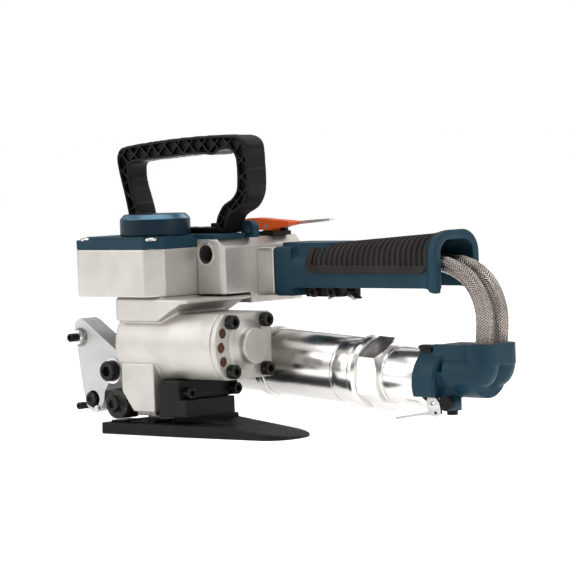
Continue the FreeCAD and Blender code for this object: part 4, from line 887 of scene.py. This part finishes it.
def braid(line, radius, carriers, lay):
    """Flat strands wound both ways round a line, each over one crossing and under the next.

    carriers is the number of strands each way, lay the length in millimetres of one turn."""
    work = bmesh.new()
    half = 0.28 * math.tau / carriers / 2
    for way in (1, -1):
        for strand in range(carriers):
            rows = []
            for centre, (side, up), run in zip(line, sections(line), distances(line)):
                angle = math.tau * strand / carriers + way * math.tau * run / lay
                over = 0.2 * way * math.cos(carriers * angle)
                row = []
                for turn, sink in ((-1.5, 0.16), (-0.5, 0), (0.5, 0), (1.5, 0.16)):
                    at = angle + turn * half
                    out = side * math.cos(at) + up * math.sin(at)
                    row.append(work.verts.new((centre + out * (radius - 0.2 + over - sink)) * MM))
                rows.append(row)
            for first, second in zip(rows, rows[1:]):
                for k in range(3):
                    work.faces.new((first[k], first[k + 1], second[k + 1], second[k]))
    bmesh.ops.recalc_face_normals(work, faces=work.faces)
    return work


def hoses():
    """Two braided hoses from the handle's flange, over a bend and down into the elbow."""
    segments = 24
    for name, y in HOSE_SIDES.items():
        route = [(66, y, 117), (130, y, 117.2), (192, y, 119.5), (227, y, 112), (243.4, y, 92),
                 (244.6, y, 68), (239.6, y, 46)]
        line = evenly(spline_line(route), 1.0)
        core = tube(line, 5.0, segments)
        weave = braid(line, 5.75, 14, 24)
        mesh = to_mesh(joined(core, weave), f"hose_{name}")
        thing = bpy.data.objects.new(f"hose_{name}_braided", mesh)
        mesh.materials.append(FINISHES["braid"])
        mesh.materials.append(FINISHES["hose_core_and_bore_shade"])
        core_faces = segments * (len(line) - 1) + 2
        for face in mesh.polygons[:core_faces]:
            face.material_index = 1
        mesh.shade_smooth()
        bpy.context.scene.collection.objects.link(thing)
        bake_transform(thing)
        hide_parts("braided_hoses")


def elbow():
    """A collar on the motor, a body with an L-shaped ledge, and two lobes turning up to one mouth."""
    profile = [(0, 245.3), (22.6, 245.3), (24, 246.6), (24, 264), (22.5, 265.5), (0, 266)]
    collar = to_mesh(lathe(profile, 96, motor_frame()))
    collar = boolean(collar, to_mesh(block((170, 30, 0), (240, 110, 26.4))))
    shapes = [reopened(collar), block((203, 57.2, 41), (236, 86.8, 61.4)),
              block((230, 54.6, 42), (240, 89.4, 62))]
    barrel = lathe([(0, 0), (19.6, 0), (19.6, 36), (0, 36)], 72, facing((204, 72, 44.6), (1, 0, 0)))
    lower = boolean(to_mesh(barrel), to_mesh(block((200, 50, 20), (244, 94, 43.4))), "INTERSECT")
    shapes.append(reopened(lower))
    for y in HOSE_SIDES.values():
        bend = evenly(relaxed([(214, y, 43), (234, y, 41.5), (241.6, y, 44), (241.8, y, 61.4)], 4), 1.5)
        shapes.append(tube(bend, 11.3, 40))
    mouth = slab([rounded_rectangle((229, 52.2), (253.4, 91.4), 11)], 48, 62.2, turn="z")
    shapes.append(mouth)
    shapes += [lathe([(0, 17), (6.5, 17), (6.5, 32), (0, 32)], 48, Matrix.Translation((0.215, 0.062, 0))),
               lathe([(0, 0), (5.2, 0), (5.2, 7), (0, 7)], 48, facing((218.5, 62, 22.6), NEARWARD))]
    body = softened(joined(*shapes), 0.55, 6, 1.0)
    for y in HOSE_SIDES.values():
        bore = lathe([(0, 54), (6.6, 54), (7.2, 66), (0, 66)], 48, Matrix.Translation((0.2418, y * MM, 0)))
        body = boolean(body, to_mesh(bore))
    body = boolean(body, to_mesh(block((236, HOSE_SIDES["near"], 58), (248, HOSE_SIDES["far"], 66))))
    body = through(body, ("DECIMATE", {"ratio": 0.4}))
    piece("hose_elbow_finished", body, ["hose_elbow"], "blue", angle=30)
    clip = joined(block((191, 58, 55), (201, 63.5, 61.2)), block((190.2, 57.4, 59), (202, 64, 60.4)))
    piece("elbow_clip", softened(clip, 0.25, 3), [], "black_oxide", "rocker")


# ---------------------------------------------------------------- inlet and link plate details
def levers():
    """The orange tab, a thick plate round its hub, and the low black bracket that it turns in."""
    bracket = boolean(to_mesh(cad_mesh("lever_block")), to_mesh(block((34, 70, 138.6), (46, 75, 150))))
    piece("lever_block_finished", softened(reopened(bracket), 0.25, 3), ["lever_block"], "black_oxide")
    side = smooth_loop([(14, 140.4), (16, 138.9), (36, 139.0), (47, 139.9), (60.5, 142.2), (61.3, 143.9),
                        (60, 145.2), (46, 146.2), (28, 147.6), (16, 146.6), (14, 144.6)], 4)
    x, z = LEVER_AXIS
    hub = lathe([(0, 0), (4.6, 0), (4.6, 9.6), (0, 9.6)], 40, facing((x, 71.7, z), (0, 1, 0)))
    tab = joined(slab([side], 71.4, 81.6), hub)
    piece("weld_lever_finished", softened(tab, 0.3, 4), ["weld_lever"], "orange")


def inlet():
    """A threaded bore in the rear block, its thread and floor near-black as painted shade inside the port, with a
    bright ring round its mouth.
    """
    spot = facing(PORT, NEARWARD)
    thread = [(6.55, -13)]
    pitch = 1.3
    for turn in range(9):
        root = -12.6 + pitch * turn
        thread += [(6.5, root), (5.6, root + 0.6), (5.6, root + 0.8)]
    thread += [(6.5, -0.6)]
    wall = lathe(thread + [(7.0, -0.6), (7.0, -13)], 72, spot, closed=True)
    floor = lathe([(0, -13.4), (7, -13.4), (7, -12.9), (0, -12.9)], 48, spot)
    # The thread and the floor take the near-black hose core finish: painted shade deep in the port.
    piece("inlet_thread", to_mesh(joined(wall, floor)), [], "hose_core_and_bore_shade", "frame")
    profile = eased([(6.5, -0.9), (6.7, 0.05), (8.2, 0.05), (8.4, -0.6), (7.2, -1.2)], 0.2, 2)
    rim = lathe(profile, 96, spot, closed=True)
    piece("inlet_rim", to_mesh(rim), [], "machined", "frame")


def link_details():
    """Small screws, a bright pin and a washer on the near face of the link plate."""
    stud = facing(STUD, NEARWARD)
    nut = slab([hexagon_outline(5.75)], 0.9, 5, turn="z")
    cone = lathe([(0, 0), (5.8, 0), (5.8, 4.2), (4.9, 5), (0, 5)], 48)
    nut_mesh = boolean(to_mesh(nut), to_mesh(cone), "INTERSECT")
    nut_mesh.transform(stud)
    nut_mesh = boolean(nut_mesh, to_mesh(lathe([(0, -1), (3.05, -1), (3.05, 7), (0, 7)], 32, stud)))
    piece("lock_nut_finished", nut_mesh, ["lock_nut"], "chrome", angle=20)
    washer = lathe([(3.1, 0), (6.6, 0), (6.6, 0.8), (3.1, 0.8)], 48, stud, closed=True)
    piece("lock_washer", to_mesh(washer), [], "drum", NODE_BODY["lock_nut"])
    black = [screw_head((-57.1, -13, 22.8), NEARWARD, 5.2, 1.6, 2.6, knurl=0),
             screw_head((-71.2, -8, 17.5), NEARWARD, 2.6, 5.2, 1.2, knurl=0, shank=1.4, reach=5)]
    black.append(reopened(softened(block((-73.6, -7.9, 15.2), (-58, -4.2, 19.8)), 0.3, 3)))
    piece("link_screws", to_mesh(joined(*black)), [], "black_oxide", NODE_BODY["link_plate"])
    pin = lathe(eased([(0, 0), (2.6, 0), (2.6, 1.2), (1.8, 1.9), (0, 1.9)], 0.4), 48,
                facing((-51.6, -13, 16.2), NEARWARD))
    ring = lathe(eased([(7.6, 0), (9.3, 0), (9.3, 1), (7.6, 1)], 0.3), 72, facing(BIG_BOLT, NEARWARD),
                 closed=True)
    piece("link_pins", to_mesh(joined(pin, ring)), [], "steel", NODE_BODY["link_plate"])


def carried_nodes():
    """Every CAD node still shown gets its finish."""
    for node, thing in NODES.items():
        if thing.hide_render:
            continue
        thing.data.materials.clear()
        thing.data.materials.append(FINISHES[SHOWN_FINISH.get(node, SLOT_FINISH[NODE_SLOT[node]])])


camera()
studio()
castings()
covers()
base()
screws()
motor()
simple_nodes()
return_spring()
carry_handle()
handle()
hoses()
elbow()
levers()
inlet()
link_details()
carried_nodes()
